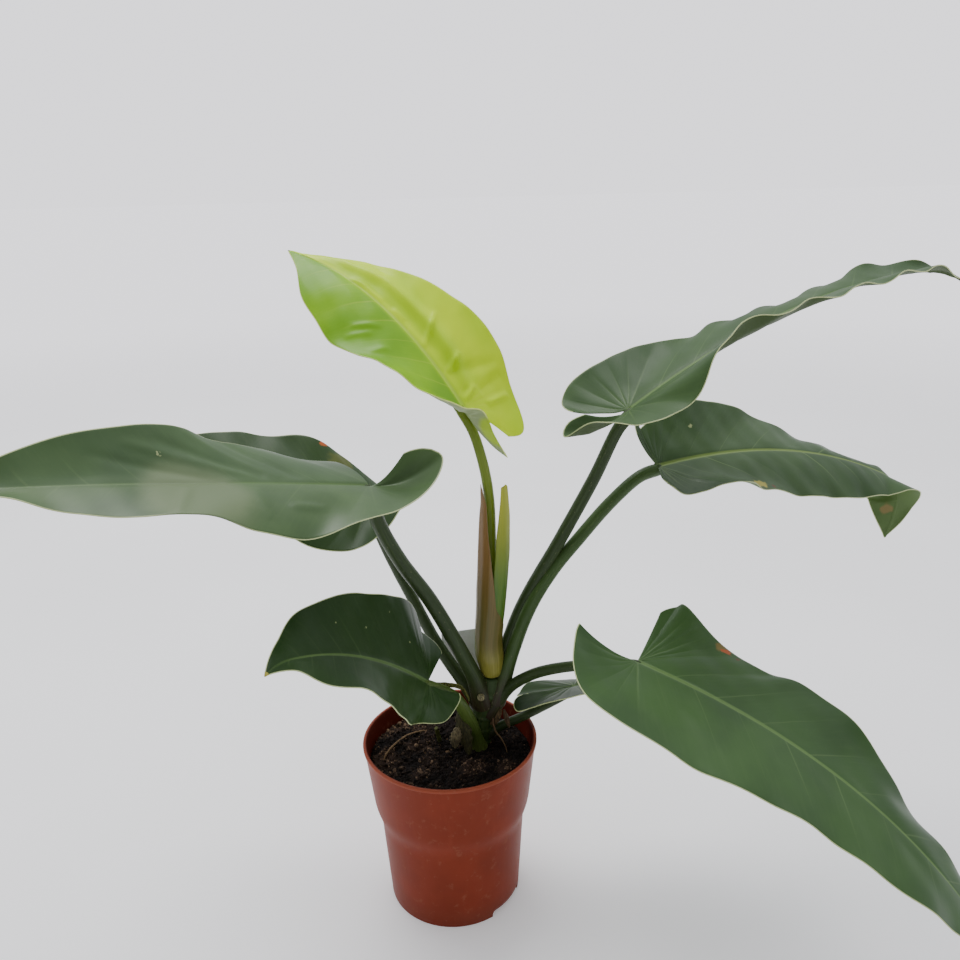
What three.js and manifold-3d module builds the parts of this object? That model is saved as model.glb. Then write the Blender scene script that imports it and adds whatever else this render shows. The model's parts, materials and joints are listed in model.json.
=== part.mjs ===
// A philodendron with eight long heart-shaped leaves, standing in a round nursery pot.
// Millimetres, +Z up. The origin is the centre of the pot's underside; -Y is the front.
import * as THREE from 'three';
import { mergeVertices } from 'three/addons/utils/BufferGeometryUtils.js';
import Module from 'manifold-3d';

// ---- driving dimensions --------------------------------------------------------------------

const GAP = 0.3;                      // clearance between pieces that touch

const POT_HEIGHT = 122;
const RIM_RADIUS = 60;                // a 12 cm pot
const RIM_LIP_HEIGHT = 2.5;
const RIM_LIP_STEP = 0.9;             // the lip stands this far out of the collar
const COLLAR_BOTTOM = { z: 75, radius: 54 };
const BODY_TOP = { z: 64, radius: 50.2 };
const FOOT_RADIUS = 46;
const POT_WALL = 1.4;
const FLOOR_UNDERSIDE = 5;            // the ring channel with the drain holes
const DISC_RADIUS = 16;               // the flat middle of the floor, which touches the ground
const CHANNEL_INNER_RADIUS = 20;
const DRAIN_HOLES = 8;
const DRAIN_HOLE_RADIUS = 4;
const DRAIN_CIRCLE_RADIUS = 32;
const FOOT_NOTCH = { width: 32, height: 5, azimuths: [-37, 143] };
const POT_SIDES = 40;

const SOIL_TOP = 108;
const SOIL_LUMPS = [                  // [x, y, height, spread] on the soil
  [-36, 8, 6, 15], [-22, -30, 3, 9], [14, -24, 6, 7], [40, -20, 4, 6],
  [2, 32, 3, 10], [36, 24, 3, 8], [-10, -8, 3, 7],
];
const SOIL_RINGS = [51, 43, 35, 27, 19, 10];

const STEM_ROUTE = [[17, 11, 78], [20, 11, 108], [25, 10.5, 138], [29.2, 10, 151], [30.6, 10, 162]];
const STEM_RADIUS = { start: 9.5, end: 6.3 };

const SHEATH = {                      // the papery leaf that wrapped the newest one
  bottom: 163.4, thickness: 1, centreY: 10,
  centres: [[30.5, 163], [29.4, 178], [28.6, 187], [29.4, 200], [30.8, 213], [32, 231],  // x at z
    [33.5, 255], [34.4, 282], [34.8, 305]],
  radii: [[5.6, 163], [7.4, 166], [9.1, 177], [8.7, 189], [9.3, 213], [9.9, 230],        // at z
    [10.4, 255], [10, 281], [8.5, 302]],
  leftMargin: [[-60, 163], [-74, 216], [-92, 241], [-97, 246], [-113, 269],              // degrees
    [-123, 291], [-150, 300]],                                                           // at z
  rightMargin: [[-52, 163], [-66, 216], [-86, 241], [-88, 246], [-84, 269], [-69, 291],
    [-37, 301]],
  topEdge: [[0, 299], [0.05, 303.5], [0.12, 288], [0.25, 235], [0.5, 215],                 // z at the
    [0.75, 235], [0.88, 285], [0.95, 301], [1, 295]],                                    // share
};

/** A card on a narrow stake: half widths at heights over its middle. */
const LABEL = { thickness: 0.8, centre: [18, 33, 134], tilt: -5,
  outline: [[17, 52], [17, 30], [4, -2], [3, -52]] };

const LEAF_THICKNESS = 0.9;
const MIDRIB_DEPTH = 1.4;             // how far the midrib stands out below the blade
const MIDRIB_DEPTH_AT_BASE = 0.55;
const PETIOLE_SHORT = 2.5;            // a petiole stops this far before the midrib's first point
const LOBE_POINTS = 4;
const WIDTH_POINTS = 8;
const MARGIN_SPANS = LOBE_POINTS + WIDTH_POINTS + 1;
const FAN_END = 0.17;                 // veins to the margin before this share start at the base
const FAN_SHARE = (LOBE_POINTS + 1 + FAN_END * WIDTH_POINTS) / MARGIN_SPANS;
const FAN_RAYS = 11;
const FAN_SLACK = 0.06;               // radians between a lobe's widest direction and its first vein
const MIDRIB_VEINS = 13;
const VEIN_STATIONS = [0, 0.14, 0.55, 1];
const PETIOLE_SIDES = 8;

// Each blade grows from base along heading (degrees, 0 = +X, 90 = away from the front), climbing
// at rise degrees; fall, turn, roll and twist bend it on the way to its tip. From the share
// hookStart of its length to hookEnd it also bends by hook and rolls by hookRoll. A side's lobe
// holds [along, across, lift] points behind the base; width and lift are the margin at even
// eighths of the length. Each petiole follows its route and tapers.
const LEAVES = [
  {
    name: 'newest', base: [17, 11, 352], length: 169,
    heading: 150, turn: -8, rise: 54, fall: -45, roll: 2, twist: -6,
    left: {
      fold: -6, lobe: [[-27, 1, 3], [-43, 2, 7], [-25, 10, 14], [-10, 14, 19]],
      width: [22, 34, 38, 38, 36, 32, 27, 13], lift: [13, 5, 1, -10, -19, -16, -11, -3],
    },
    right: {
      fold: 23, lobe: [[-10, 7, 3], [-19, 14, -5], [-30, 24, -5], [-30, 37, -4]],
      width: [42, 44, 42, 38, 34, 27, 19, 9], lift: [1, 6, 9, 7, 4, 0, -3, -5],
    },
    petiole: {
      radius: { start: 3.9, end: 2.9 },
      route: [[31, 10, 163.5], [32, 11, 219], [32, 11, 262], [31.5, 10, 290], [28.5, 8, 313],
        [22, 9, 337], [17, 11, 352]],
    },
  },
  {
    name: 'upper_left', base: [-42, -27, 316], length: 226,
    heading: 214, turn: 0, rise: 14, fall: -5, roll: -8, twist: -17,
    left: {
      fold: 2, lobe: [[-13, 3.5, 20], [-23, 13, 29], [-31, 22, 27], [-21, 33, 14]],
      width: [40, 43, 43, 39, 33, 29, 21, 10], lift: [2, -4, -13, -8, 1, -1, -2, 2],
    },
    right: {
      fold: 12, lobe: [[5, 8, -3], [3, 18, -7], [1, 29, -9], [5, 38, -9]],
      width: [41, 40, 39, 37, 35, 30, 23, 13], lift: [-9, -9, -4, 0, 9, 10, 9, 5],
    },
    petiole: {
      radius: { start: 5.5, end: 4.2 },
      route: [[24, 9, 140], [19, 5, 162], [9, 0, 188], [-9, -9, 230], [-27, -17, 263],
        [-38, -23, 290], [-42, -27, 316]],
    },
  },
  {
    name: 'rear_left', base: [-49, 38, 282], length: 206,
    heading: 175, turn: 0, rise: 19, fall: -30, roll: -23, twist: -2,
    left: {
      fold: -1, lobe: [[-11, 2, 7], [-22, 9, 19], [-23, 15, 20], [-16, 31, 10]],
      width: [42, 45, 40, 36, 32, 27, 20, 10], lift: [-3, -7, -3, -1, 0, 0, 0, 0],
    },
    right: {
      fold: 8, lobe: [[-2, 8, 0], [-5, 15, 0], [-5, 21, -2], [-2, 24, -6]],
      width: [27, 36, 40, 36, 33, 27, 20, 10], lift: [-9, -5, 3, 0, 2, 2, 1, 0],
    },
    petiole: {
      radius: { start: 4.6, end: 3.2 },
      route: [[24, 14, 134], [12, 17, 152], [-6, 24, 180], [-22, 31, 213], [-35, 35, 241],
        [-45, 38, 266], [-49, 38, 282]],
    },
  },
  {
    name: 'lower_left', base: [-13, -30, 183], length: 153, hook: -30, hookStart: 0.86,
    heading: 227, turn: 12, rise: 43, fall: -30, roll: -46, twist: 11,
    left: {
      fold: 2, lobe: [[-15, 4, 9], [-21, 8, 10], [-20, 15, 5], [-20, 20, -6]],
      width: [24, 31, 38, 38, 34, 27, 20, 8], lift: [-11, -8, -3, 1, 4, 5, -1, 0],
    },
    right: {
      fold: 12, lobe: [[-8, 10, -2], [-17, 23, 1], [-17, 35, -4], [-3, 44, -10]],
      width: [48, 48, 44, 40, 37, 32, 26, 12], lift: [-7, 2, 5, 5, 4, 1, -3, -3],
    },
    petiole: {
      radius: { start: 5, end: 3.6 },
      route: [[21, 7, 104], [17, 3, 122], [12, -3, 140], [3, -13, 161], [-13, -30, 183]],
    },
  },
  {
    name: 'upper_right', base: [120, 7, 348], length: 253, hook: -20, hookStart: 0.8,
    heading: 1, turn: 18, rise: 36, fall: -42, roll: 9, twist: -21,
    left: {
      fold: 12, lobe: [[-14, 8, 6], [-29, 19, 9], [-31, 32, 10], [-19, 42, 11]],
      width: [45, 44, 40, 37, 32, 27, 21, 11], lift: [9, 3, -7, -9, -10, -6, 3, 4],
    },
    right: {
      fold: 11, lobe: [[-18, 4, 14], [-34, 14, 22], [-41, 25, 19], [-22, 34, 18]],
      width: [41, 43, 40, 37, 34, 28, 21, 11], lift: [0, -7, 14, 9, 2, -2, -2, -1],
    },
    petiole: {
      radius: { start: 4.8, end: 3.8 },
      route: [[32, 14, 150], [51, 16, 207], [78, 14, 259], [100, 11, 303], [115, 8, 337],
        [120, 7, 348]],
    },
  },
  {
    name: 'middle_right', base: [146, 29, 303], length: 248,
    hook: -68, hookRoll: -105, hookStart: 0.76, hookEnd: 0.89,
    heading: 20, turn: -15, rise: 5, fall: -44, roll: 26, twist: -8,
    left: {
      fold: 10, lobe: [[-7.5, 15, 10], [-8, 22, 12.5], [-6, 27, 13], [-1.5, 27, 9]],
      width: [28, 42, 42, 36, 27, 20, 14, 21], lift: [5, 6, 5, -3, -9, -10, -8, 3],
    },
    right: {
      fold: -1, lobe: [[-4, 8, 1], [-6, 13, 3], [-8, 21, 7], [-9, 28, 10]],
      width: [36, 41, 39, 39, 36, 31, 21, 14], lift: [8, 15, 2, -7, -10, -10, -6, -2],
    },
    petiole: {
      radius: { start: 4.8, end: 3.9 },
      route: [[33, 8, 142], [56, 11, 209], [73, 14, 237], [91, 17, 258], [113, 22, 281],
        [133, 26, 297], [146, 29, 303]],
    },
  },
  {
    name: 'lower_right', base: [117, -53, 204], length: 267,
    heading: -43, turn: 16, rise: -5, fall: -60, roll: 5, twist: 2,
    left: {
      fold: 3, lobe: [[-3, 13, 1], [-9, 30, 3], [-11, 47, 4], [-6, 59, 3]],
      width: [62, 51, 44, 42, 37, 27, 18, 10], lift: [4, -5, -2, 5, 3, -6, -2, 0],
    },
    right: {
      fold: 1, lobe: [[-20, 6, 9], [-31, 8, 20], [-36, 14, 17], [-20, 41, 13]],
      width: [55, 55, 52, 45, 42, 37, 28, 15], lift: [6, -1, -6, -5, -2, -2, -1, 0],
    },
    petiole: {
      radius: { start: 4, end: 3 },
      route: [[28, 8, 132], [42, 4, 155], [54, -4, 168], [66, -14, 178], [81, -26, 187],
        [102, -42, 196], [117, -53, 204]],
    },
  },
  {
    name: 'rear_right', base: [88, 10, 150], length: 126,
    heading: 4, turn: 0, rise: 10, fall: -25, roll: -18, twist: 0,
    left: {
      fold: 2, lobe: [[-16, 1, 2], [-38, 6, 1], [-38, 15, 0], [-27, 25, 3]],
      width: [27, 30, 30, 29, 26, 21, 16, 8], lift: [-3, -6, -5, -2, 0, 0, 0, 0],
    },
    right: {
      fold: 4, lobe: [[-18, 1, 4], [-41, 6, 3], [-43, 17, -4], [-26, 24, -2]],
      width: [33, 35, 33, 29, 25, 21, 16, 8], lift: [0, -1, -1, 0, 0, 0, 0, 0],
    },
    petiole: {
      radius: { start: 3.4, end: 2.6 },
      route: [[22, 10, 112], [36, 10, 121], [52, 10, 128], [74, 10, 139], [88, 10, 150]],
    },
  },
];

const ROOTS = [                       // roots that lie on the soil or hang from the stem
  { name: 'root_long', radius: 0.9, route: [[-48, -10, 105], [-44, -4, 113], [-33, 10, 115.5],
    [-22, 22, 112], [-12, 30, 107]] },
  { name: 'root_thin', radius: 0.6, route: [[30.3, 3, 133], [30.4, 0.5, 129], [32, 0, 123],
    [35.3, -1, 118.6], [38.5, -3, 112], [39.5, -3.5, 105]] },
  { name: 'cut_petiole', radius: 1.8, route: [[-5.5, 14, 101], [-6.7, 13, 106], [-8, 11, 114],
    [-9.5, 8, 123.4]] },
];

// ---- colours ------------------------------------------------------------------------------

const paint = (color, roughness) => (
  new THREE.MeshStandardMaterial({ color, roughness, metalness: 0 }));
const MATERIALS = {
  pot: paint(0xb5583c, 0.45),
  soil: paint(0x33241d, 0.95),
  leaf: paint(0x35582f, 0.4),
  youngLeaf: paint(0x9fbf2c, 0.3),
  petiole: paint(0x44622f, 0.45),
  youngPetiole: paint(0x8f9f3a, 0.4),
  stem: paint(0x3c4a26, 0.6),
  sheath: paint(0x8a6a3a, 0.5),
  label: paint(0xe6e6e2, 0.4),
  root: paint(0x8c7556, 0.8),
};

// ---- solids -------------------------------------------------------------------------------

const wasm = await Module();
wasm.setup();

/** Shares the vertices of a geometry and drops the triangles that have no area. */
function closed(geometry) {
  const bare = geometry.clone();
  for (const attribute of ['normal', 'uv']) bare.deleteAttribute(attribute);
  const merged = mergeVertices(bare, 1e-4);
  const kept = [];
  const index = merged.index.array;
  for (let i = 0; i < index.length; i += 3) {
    const [a, b, c] = [index[i], index[i + 1], index[i + 2]];
    if (a !== b && b !== c && a !== c) kept.push(a, b, c);
  }
  merged.setIndex(kept);
  return merged;
}

function solid(geometry) {
  const { attributes, index } = closed(geometry);
  return new wasm.Manifold(new wasm.Mesh({
    numProp: 3,
    vertProperties: Float32Array.from(attributes.position.array),
    triVerts: Uint32Array.from(index.array),
  }));
}

/** The biggest connected piece of a solid, as a geometry. */
function biggest(manifold) {
  const pieces = manifold.decompose().sort((a, b) => b.volume() - a.volume());
  const { vertProperties, triVerts } = pieces[0].getMesh();
  const geometry = new THREE.BufferGeometry();
  geometry.setAttribute('position', new THREE.BufferAttribute(vertProperties, 3));
  geometry.setIndex(new THREE.BufferAttribute(triVerts, 1));
  return geometry;
}

const cut = (geometry, cutters) => biggest(
  cutters.reduce((rest, cutter) => rest.subtract(solid(cutter)), solid(geometry)));

const vectors = (points) => points.map((p) => new THREE.Vector3(...p));

/** A round stalk along a smooth route, tapered from radius.start to radius.end. */
function stalk(route, radius, sides, steps) {
  const path = new THREE.CatmullRomCurve3(vectors(route), false, 'centripetal');
  const section = new THREE.Shape();
  for (let i = 0; i < sides; i += 1) {
    const angle = (2 * Math.PI * i) / sides;
    const place = i === 0 ? 'moveTo' : 'lineTo';
    section[place](radius.start * Math.cos(angle), radius.start * Math.sin(angle));
  }
  const tube = closed(new THREE.ExtrudeGeometry(section, { steps, extrudePath: path }));
  const centres = path.getSpacedPoints(steps);
  const position = tube.attributes.position;
  const point = new THREE.Vector3();
  for (let i = 0; i < position.count; i += 1) {
    point.fromBufferAttribute(position, i);
    const distances = centres.map((centre) => centre.distanceToSquared(point));
    const nearest = distances.indexOf(Math.min(...distances));
    const share = THREE.MathUtils.lerp(radius.start, radius.end, nearest / steps) / radius.start;
    point.sub(centres[nearest]).multiplyScalar(share).add(centres[nearest]);
    position.setXYZ(i, point.x, point.y, point.z);
  }
  return tube;
}

/** A route whose last point is moved back towards the one before it. */
function shortened(route, length) {
  const [before, end] = vectors(route.slice(-2));
  const back = before.clone().sub(end).setLength(length);
  return [...route.slice(0, -1), end.add(back).toArray()];
}

const wider = (radius, extra) => ({ start: radius.start + extra, end: radius.end + extra });

/** Value of a list of [value, at] pairs at a place between them. */
function along(pairs, at) {
  const last = pairs.length - 1;
  let i = 0;
  while (i < last - 1 && at > pairs[i + 1][1]) i += 1;
  const share = THREE.MathUtils.clamp((at - pairs[i][1]) / (pairs[i + 1][1] - pairs[i][1]), 0, 1);
  return THREE.MathUtils.lerp(pairs[i][0], pairs[i + 1][0], share);
}

/** Gives a sheet of triangles its two faces and its edge. above and below are per vertex. */
function thicken(points, triangles, above, below) {
  const sheet = new THREE.BufferGeometry().setFromPoints(points);
  sheet.setIndex(triangles.flat());
  sheet.computeVertexNormals();
  const normal = new THREE.Vector3();
  const upper = [];
  const lower = [];
  points.forEach((point, i) => {
    normal.fromBufferAttribute(sheet.attributes.normal, i);
    upper.push(point.clone().addScaledVector(normal, above[i]));
    lower.push(point.clone().addScaledVector(normal, -below[i]));
  });
  const under = (i) => i + points.length;
  const faces = triangles.flatMap(([a, b, c]) => [[a, b, c], [under(c), under(b), under(a)]]);
  const edges = new Map();
  for (const [a, b, c] of triangles) {
    for (const [from, to] of [[a, b], [b, c], [c, a]]) edges.set(`${from}>${to}`, [from, to]);
  }
  for (const [from, to] of edges.values()) {
    if (edges.has(`${to}>${from}`)) continue;
    faces.push([to, from, under(from)], [to, under(from), under(to)]);
  }
  const geometry = new THREE.BufferGeometry().setFromPoints([...upper, ...lower]);
  geometry.setIndex(faces.flat());
  return geometry;
}

// ---- pot and soil ---------------------------------------------------------------------------

/** Turns a profile of [radius, z] points about the Z axis. */
function turned(profile, sides) {
  const lathe = new THREE.LatheGeometry(profile.map(([r, z]) => new THREE.Vector2(r, z)), sides);
  return closed(lathe.rotateX(Math.PI / 2));
}

function cylinderAt(radius, height, [x, y, z], sides) {
  const upright = new THREE.CylinderGeometry(radius, radius, height, sides).rotateX(Math.PI / 2);
  return upright.translate(x, y, z);
}

const channelTop = FLOOR_UNDERSIDE + POT_WALL;
const footInner = FOOT_RADIUS - POT_WALL;

/** The inner wall of the pot from its floor up, moved inwards by a clearance. */
function innerWall(clearance) {
  const inset = POT_WALL + clearance;
  return [
    [FOOT_RADIUS + 0.4 - inset, channelTop + clearance],
    [BODY_TOP.radius - inset, BODY_TOP.z + 0.5],
    [COLLAR_BOTTOM.radius - inset, COLLAR_BOTTOM.z + 0.5],
  ];
}

function makePot() {
  const lipBottom = POT_HEIGHT - RIM_LIP_HEIGHT;
  const collarTop = RIM_RADIUS - RIM_LIP_STEP;
  const shell = turned([
    [0, 0], [DISC_RADIUS, 0],
    [CHANNEL_INNER_RADIUS, FLOOR_UNDERSIDE], [footInner, FLOOR_UNDERSIDE],
    [footInner, 0], [FOOT_RADIUS, 0],
    [BODY_TOP.radius, BODY_TOP.z], [COLLAR_BOTTOM.radius, COLLAR_BOTTOM.z],
    [collarTop, lipBottom], [RIM_RADIUS, lipBottom + 0.5],
    [RIM_RADIUS, POT_HEIGHT - 0.6], [RIM_RADIUS - 0.6, POT_HEIGHT],
    [collarTop - POT_WALL, POT_HEIGHT],
    ...innerWall(0).reverse(),
    [CHANNEL_INNER_RADIUS - 0.5, channelTop], [DISC_RADIUS - 0.5, POT_WALL], [0, POT_WALL],
  ], POT_SIDES);
  const cutters = [];
  for (let i = 0; i < DRAIN_HOLES; i += 1) {
    const angle = (2 * Math.PI * (i + 0.5)) / DRAIN_HOLES;
    const [x, y] = [DRAIN_CIRCLE_RADIUS * Math.cos(angle), DRAIN_CIRCLE_RADIUS * Math.sin(angle)];
    cutters.push(cylinderAt(DRAIN_HOLE_RADIUS, 8, [x, y, channelTop], 10));
  }
  for (const azimuth of FOOT_NOTCH.azimuths) {
    const box = new THREE.BoxGeometry(12, FOOT_NOTCH.width, 2 * FOOT_NOTCH.height - 0.4);
    cutters.push(box.translate(FOOT_RADIUS, 0, 0).rotateZ(THREE.MathUtils.degToRad(azimuth)));
  }
  return cut(shell, cutters);
}

function soilHeight(x, y) {
  const lumps = SOIL_LUMPS.reduce((sum, [cx, cy, height, spread]) => sum
    + height * Math.exp(-((x - cx) ** 2 + (y - cy) ** 2) / (2 * spread * spread)), 0);
  const crumbs = 0.8 * Math.sin(0.41 * x + 1) * Math.cos(0.37 * y) + 0.5 * Math.sin(0.9 * x - 0.7 * y);
  return SOIL_TOP + lumps + crumbs;
}

function makeSoil(cutters) {
  const wall = innerWall(GAP);
  const collarWidening = RIM_RADIUS - RIM_LIP_STEP - COLLAR_BOTTOM.radius;
  const collarSlope = collarWidening / (POT_HEIGHT - COLLAR_BOTTOM.z);
  const topRadius = wall[2][0] + collarSlope * (SOIL_TOP - COLLAR_BOTTOM.z) - 0.2;
  const bottom = POT_WALL + GAP;
  const body = turned([
    [0, bottom], [DISC_RADIUS - 1, bottom], [CHANNEL_INNER_RADIUS - 0.7, channelTop + GAP],
    ...wall, [topRadius, SOIL_TOP],
    ...SOIL_RINGS.map((radius) => [radius, SOIL_TOP]), [0, SOIL_TOP],
  ], 30);
  const position = body.attributes.position;
  for (let i = 0; i < position.count; i += 1) {
    const [x, y, z] = [position.getX(i), position.getY(i), position.getZ(i)];
    const inside = Math.hypot(x, y) < topRadius - 0.5;
    if (z > SOIL_TOP - 0.01 && inside) position.setZ(i, soilHeight(x, y));
  }
  return cut(body, cutters);
}

// ---- leaves ---------------------------------------------------------------------------------

const radians = THREE.MathUtils.degToRad;

/** Points and directions along a leaf's midrib, as functions of the distance from its base. */
function midribOf(leaf) {
  const steps = 48;
  const frames = [];
  const point = new THREE.Vector3(...leaf.base);
  const { hook = 0, hookRoll = 0, hookStart = 0, hookEnd = 1 } = leaf;
  const directionAt = (share) => {
    const hooked = THREE.MathUtils.clamp((share - hookStart) / (hookEnd - hookStart), 0, 1) ** 1.3;
    const climb = radians(leaf.rise + leaf.fall * share ** 1.3 + hook * hooked);
    const heading = radians(leaf.heading + leaf.turn * share);
    return {
      forward: new THREE.Vector3(Math.cos(climb) * Math.cos(heading),
        Math.cos(climb) * Math.sin(heading), Math.sin(climb)),
      level: new THREE.Vector3(-Math.sin(heading), Math.cos(heading), 0),
      roll: radians(leaf.roll + leaf.twist * share + hookRoll * hooked),
    };
  };
  for (let i = 0; i <= steps; i += 1) {
    const { forward, level, roll } = directionAt(i / steps);
    const upright = forward.clone().cross(level);
    const side = level.clone().multiplyScalar(Math.cos(roll)).addScaledVector(upright, Math.sin(roll));
    const up = forward.clone().cross(side);
    frames.push({ point: point.clone(), forward, side, up });
    const next = directionAt(Math.min(1, (i + 1) / steps)).forward;
    point.addScaledVector(forward.clone().add(next).multiplyScalar(0.5), leaf.length / steps);
  }
  return (distance) => {
    const at = THREE.MathUtils.clamp((distance / leaf.length) * steps, 0, steps);
    const i = Math.min(Math.floor(at), steps - 1);
    const mix = (key) => frames[i][key].clone().lerp(frames[i + 1][key], at - i);
    const frame = { point: mix('point'), forward: mix('forward'), side: mix('side'), up: mix('up') };
    if (distance < 0) frame.point.addScaledVector(frame.forward, distance);
    return frame;
  };
}

/** The margin of one side as a curve of (along, across, lift), from the base to the tip. */
function marginOf(leaf, side) {
  const widths = side.width.map((width, i) => [(leaf.length * i) / WIDTH_POINTS, width, side.lift[i]]);
  const points = vectors([[0, 0, 0], ...side.lobe, ...widths, [leaf.length, 0, 0]]);
  return (share) => {
    const at = THREE.MathUtils.clamp(share * MARGIN_SPANS, 0, MARGIN_SPANS);
    const i = Math.min(Math.floor(at), MARGIN_SPANS - 1);
    const before = points[i - 1] ?? points[i];
    const after = points[i + 2] ?? points[i + 1];
    const spline = (key) => {
      const [a, b, c, d] = [before[key], points[i][key], points[i + 1][key], after[key]];
      const t = at - i;
      return 0.5 * (2 * b + (c - a) * t + (2 * a - 5 * b + 4 * c - d) * t * t
        + (3 * b - a - 3 * c + d) * t * t * t);
    };
    return new THREE.Vector3(spline('x'), spline('y'), spline('z'));
  };
}

/** Shares of a margin where its veins end. Those from the base stand at even angles. */
function veinEnds(margin) {
  const angleAt = (share) => {
    const { x, y } = margin(share);
    return Math.atan2(y, x);
  };
  const samples = 240;
  const firstShare = 1 / MARGIN_SPANS;
  const shares = Array.from({ length: samples + 1 },
    (_, i) => THREE.MathUtils.lerp(firstShare, FAN_SHARE, i / samples));
  const widest = Math.max(...shares.map(angleAt)) - FAN_SLACK;
  const ends = [];
  for (let ray = 0; ray < FAN_RAYS; ray += 1) {
    const angle = THREE.MathUtils.lerp(widest, angleAt(FAN_SHARE), ray / FAN_RAYS);
    ends.push(shares.findLast((share) => angleAt(share) >= angle));
  }
  for (let vein = 0; vein < MIDRIB_VEINS; vein += 1) {
    ends.push(THREE.MathUtils.lerp(FAN_SHARE, 1, vein / MIDRIB_VEINS));
  }
  return ends;
}

/** A closed blade: veins fan out from its base, and then run from the midrib to the margin. */
function makeBlade(leaf) {
  const midrib = midribOf(leaf);
  const points = [];
  const keel = [];
  const add = (point, depth) => {
    points.push(point);
    keel.push(depth);
    return points.length - 1;
  };
  const origins = Array.from({ length: FAN_RAYS + MIDRIB_VEINS },
    (_, row) => leaf.length * (Math.max(0, row - FAN_RAYS) / MIDRIB_VEINS) ** 1.1);
  const base = add(midrib(0).point, MIDRIB_DEPTH_AT_BASE);
  const tip = add(midrib(leaf.length).point, 0);
  const spine = origins.map((origin) => (origin === 0 ? base
    : add(midrib(origin).point, MIDRIB_DEPTH * (1 - origin / leaf.length))));
  const triangles = [];
  for (const [sign, side] of [[1, leaf.left], [-1, leaf.right]]) {
    const margin = marginOf(leaf, side);
    const fold = radians(side.fold);
    const net = veinEnds(margin).map((end, row) => {
      const edge = margin(end);
      return VEIN_STATIONS.map((share) => {
        if (share === 0) return spine[row];
        const frame = midrib(THREE.MathUtils.lerp(origins[row], edge.x, share));
        const across = edge.y * share;
        const point = frame.point.addScaledVector(frame.side, sign * across * Math.cos(fold));
        point.addScaledVector(frame.up, across * Math.sin(fold) + edge.z * share * share);
        return add(point, 0);
      });
    });
    net.push(VEIN_STATIONS.map(() => tip));
    for (let row = 0; row < net.length - 1; row += 1) {
      for (let column = 0; column < VEIN_STATIONS.length - 1; column += 1) {
        const [a, b] = [net[row][column], net[row + 1][column]];
        const [d, c] = [net[row][column + 1], net[row + 1][column + 1]];
        for (const triangle of [[a, b, c], [a, c, d]]) {
          if (new Set(triangle).size < 3) continue;
          triangles.push(sign > 0 ? triangle : [...triangle].reverse());
        }
      }
    }
  }
  const half = LEAF_THICKNESS / 2;
  return thicken(points, triangles, points.map(() => half), keel.map((depth) => half + depth));
}

/** The blade moved a little each way: together, the space that its petiole keeps clear of. */
function bladeRoom(leaf) {
  const moves = [-GAP, GAP].flatMap((d) => [[d, 0, 0], [0, d, 0], [0, 0, d]]);
  return moves.map((move) => makeBlade(leaf).translate(...move));
}

// ---- sheath, label -----------------------------------------------------------------------

function makeSheath() {
  const columns = 16;
  const rows = 14;
  const points = [];
  const triangles = [];
  for (let column = 0; column <= columns; column += 1) {
    const share = column / columns;
    const top = along(SHEATH.topEdge.map(([at, z]) => [z, at]), share);
    for (let row = 0; row <= rows; row += 1) {
      const z = THREE.MathUtils.lerp(SHEATH.bottom, top, row / rows);
      const radius = along(SHEATH.radii, z);
      const centre = along(SHEATH.centres, z);
      const left = along(SHEATH.leftMargin, z);
      const right = along(SHEATH.rightMargin, z) - 360;
      const angle = radians(THREE.MathUtils.lerp(left, right, share));
      points.push(new THREE.Vector3(centre + radius * Math.cos(angle),
        SHEATH.centreY + radius * Math.sin(angle), z));
    }
  }
  const at = (column, row) => column * (rows + 1) + row;
  for (let column = 0; column < columns; column += 1) {
    for (let row = 0; row < rows; row += 1) {
      const [a, b] = [at(column, row), at(column, row + 1)];
      const [d, c] = [at(column + 1, row), at(column + 1, row + 1)];
      triangles.push([a, b, c], [a, c, d]);
    }
  }
  const half = points.map(() => SHEATH.thickness / 2);
  return thicken(points, triangles, half, half);
}

/** The round space that the sheath takes up, which its neighbours keep clear of. */
function sheathRoom() {
  const route = SHEATH.centres.slice(0, 6).map(([x, z]) => [x, SHEATH.centreY, z]);
  route[0][2] -= 1.5;
  return stalk(route, { start: 9.2 + SHEATH.thickness, end: 9.9 + SHEATH.thickness }, 16, 8);
}

function makeLabel(extra = 0) {
  const ends = LABEL.outline.length - 1;
  const right = LABEL.outline.map(([half, z], i) => {
    const beyond = { 0: extra, [ends]: -extra }[i] ?? 0;
    return new THREE.Vector2(half + extra, z + beyond);
  });
  const left = right.map(({ x, y }) => new THREE.Vector2(-x, y)).reverse();
  const depth = LABEL.thickness + 2 * extra;
  const plate = new THREE.ExtrudeGeometry(new THREE.Shape([...right, ...left]), {
    depth, steps: 1, bevelEnabled: false,
  });
  plate.translate(0, 0, -depth / 2).rotateX(Math.PI / 2);
  return closed(plate.rotateY(radians(LABEL.tilt)).translate(...LABEL.centre));
}

// ---- assembly -------------------------------------------------------------------------------

const plant = new THREE.Group();

function addNode(name, geometry, material) {
  const mesh = new THREE.Mesh(geometry.toNonIndexed(), material.clone());
  mesh.geometry.computeVertexNormals();
  mesh.name = name;
  plant.add(mesh);
}

addNode('pot', makePot(), MATERIALS.pot);

const stemWithGap = stalk(STEM_ROUTE, wider(STEM_RADIUS, GAP), 14, 8);
const sheath = sheathRoom();
const soilCutters = [stemWithGap, makeLabel(GAP)];
const taken = [stemWithGap, sheath];

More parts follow.
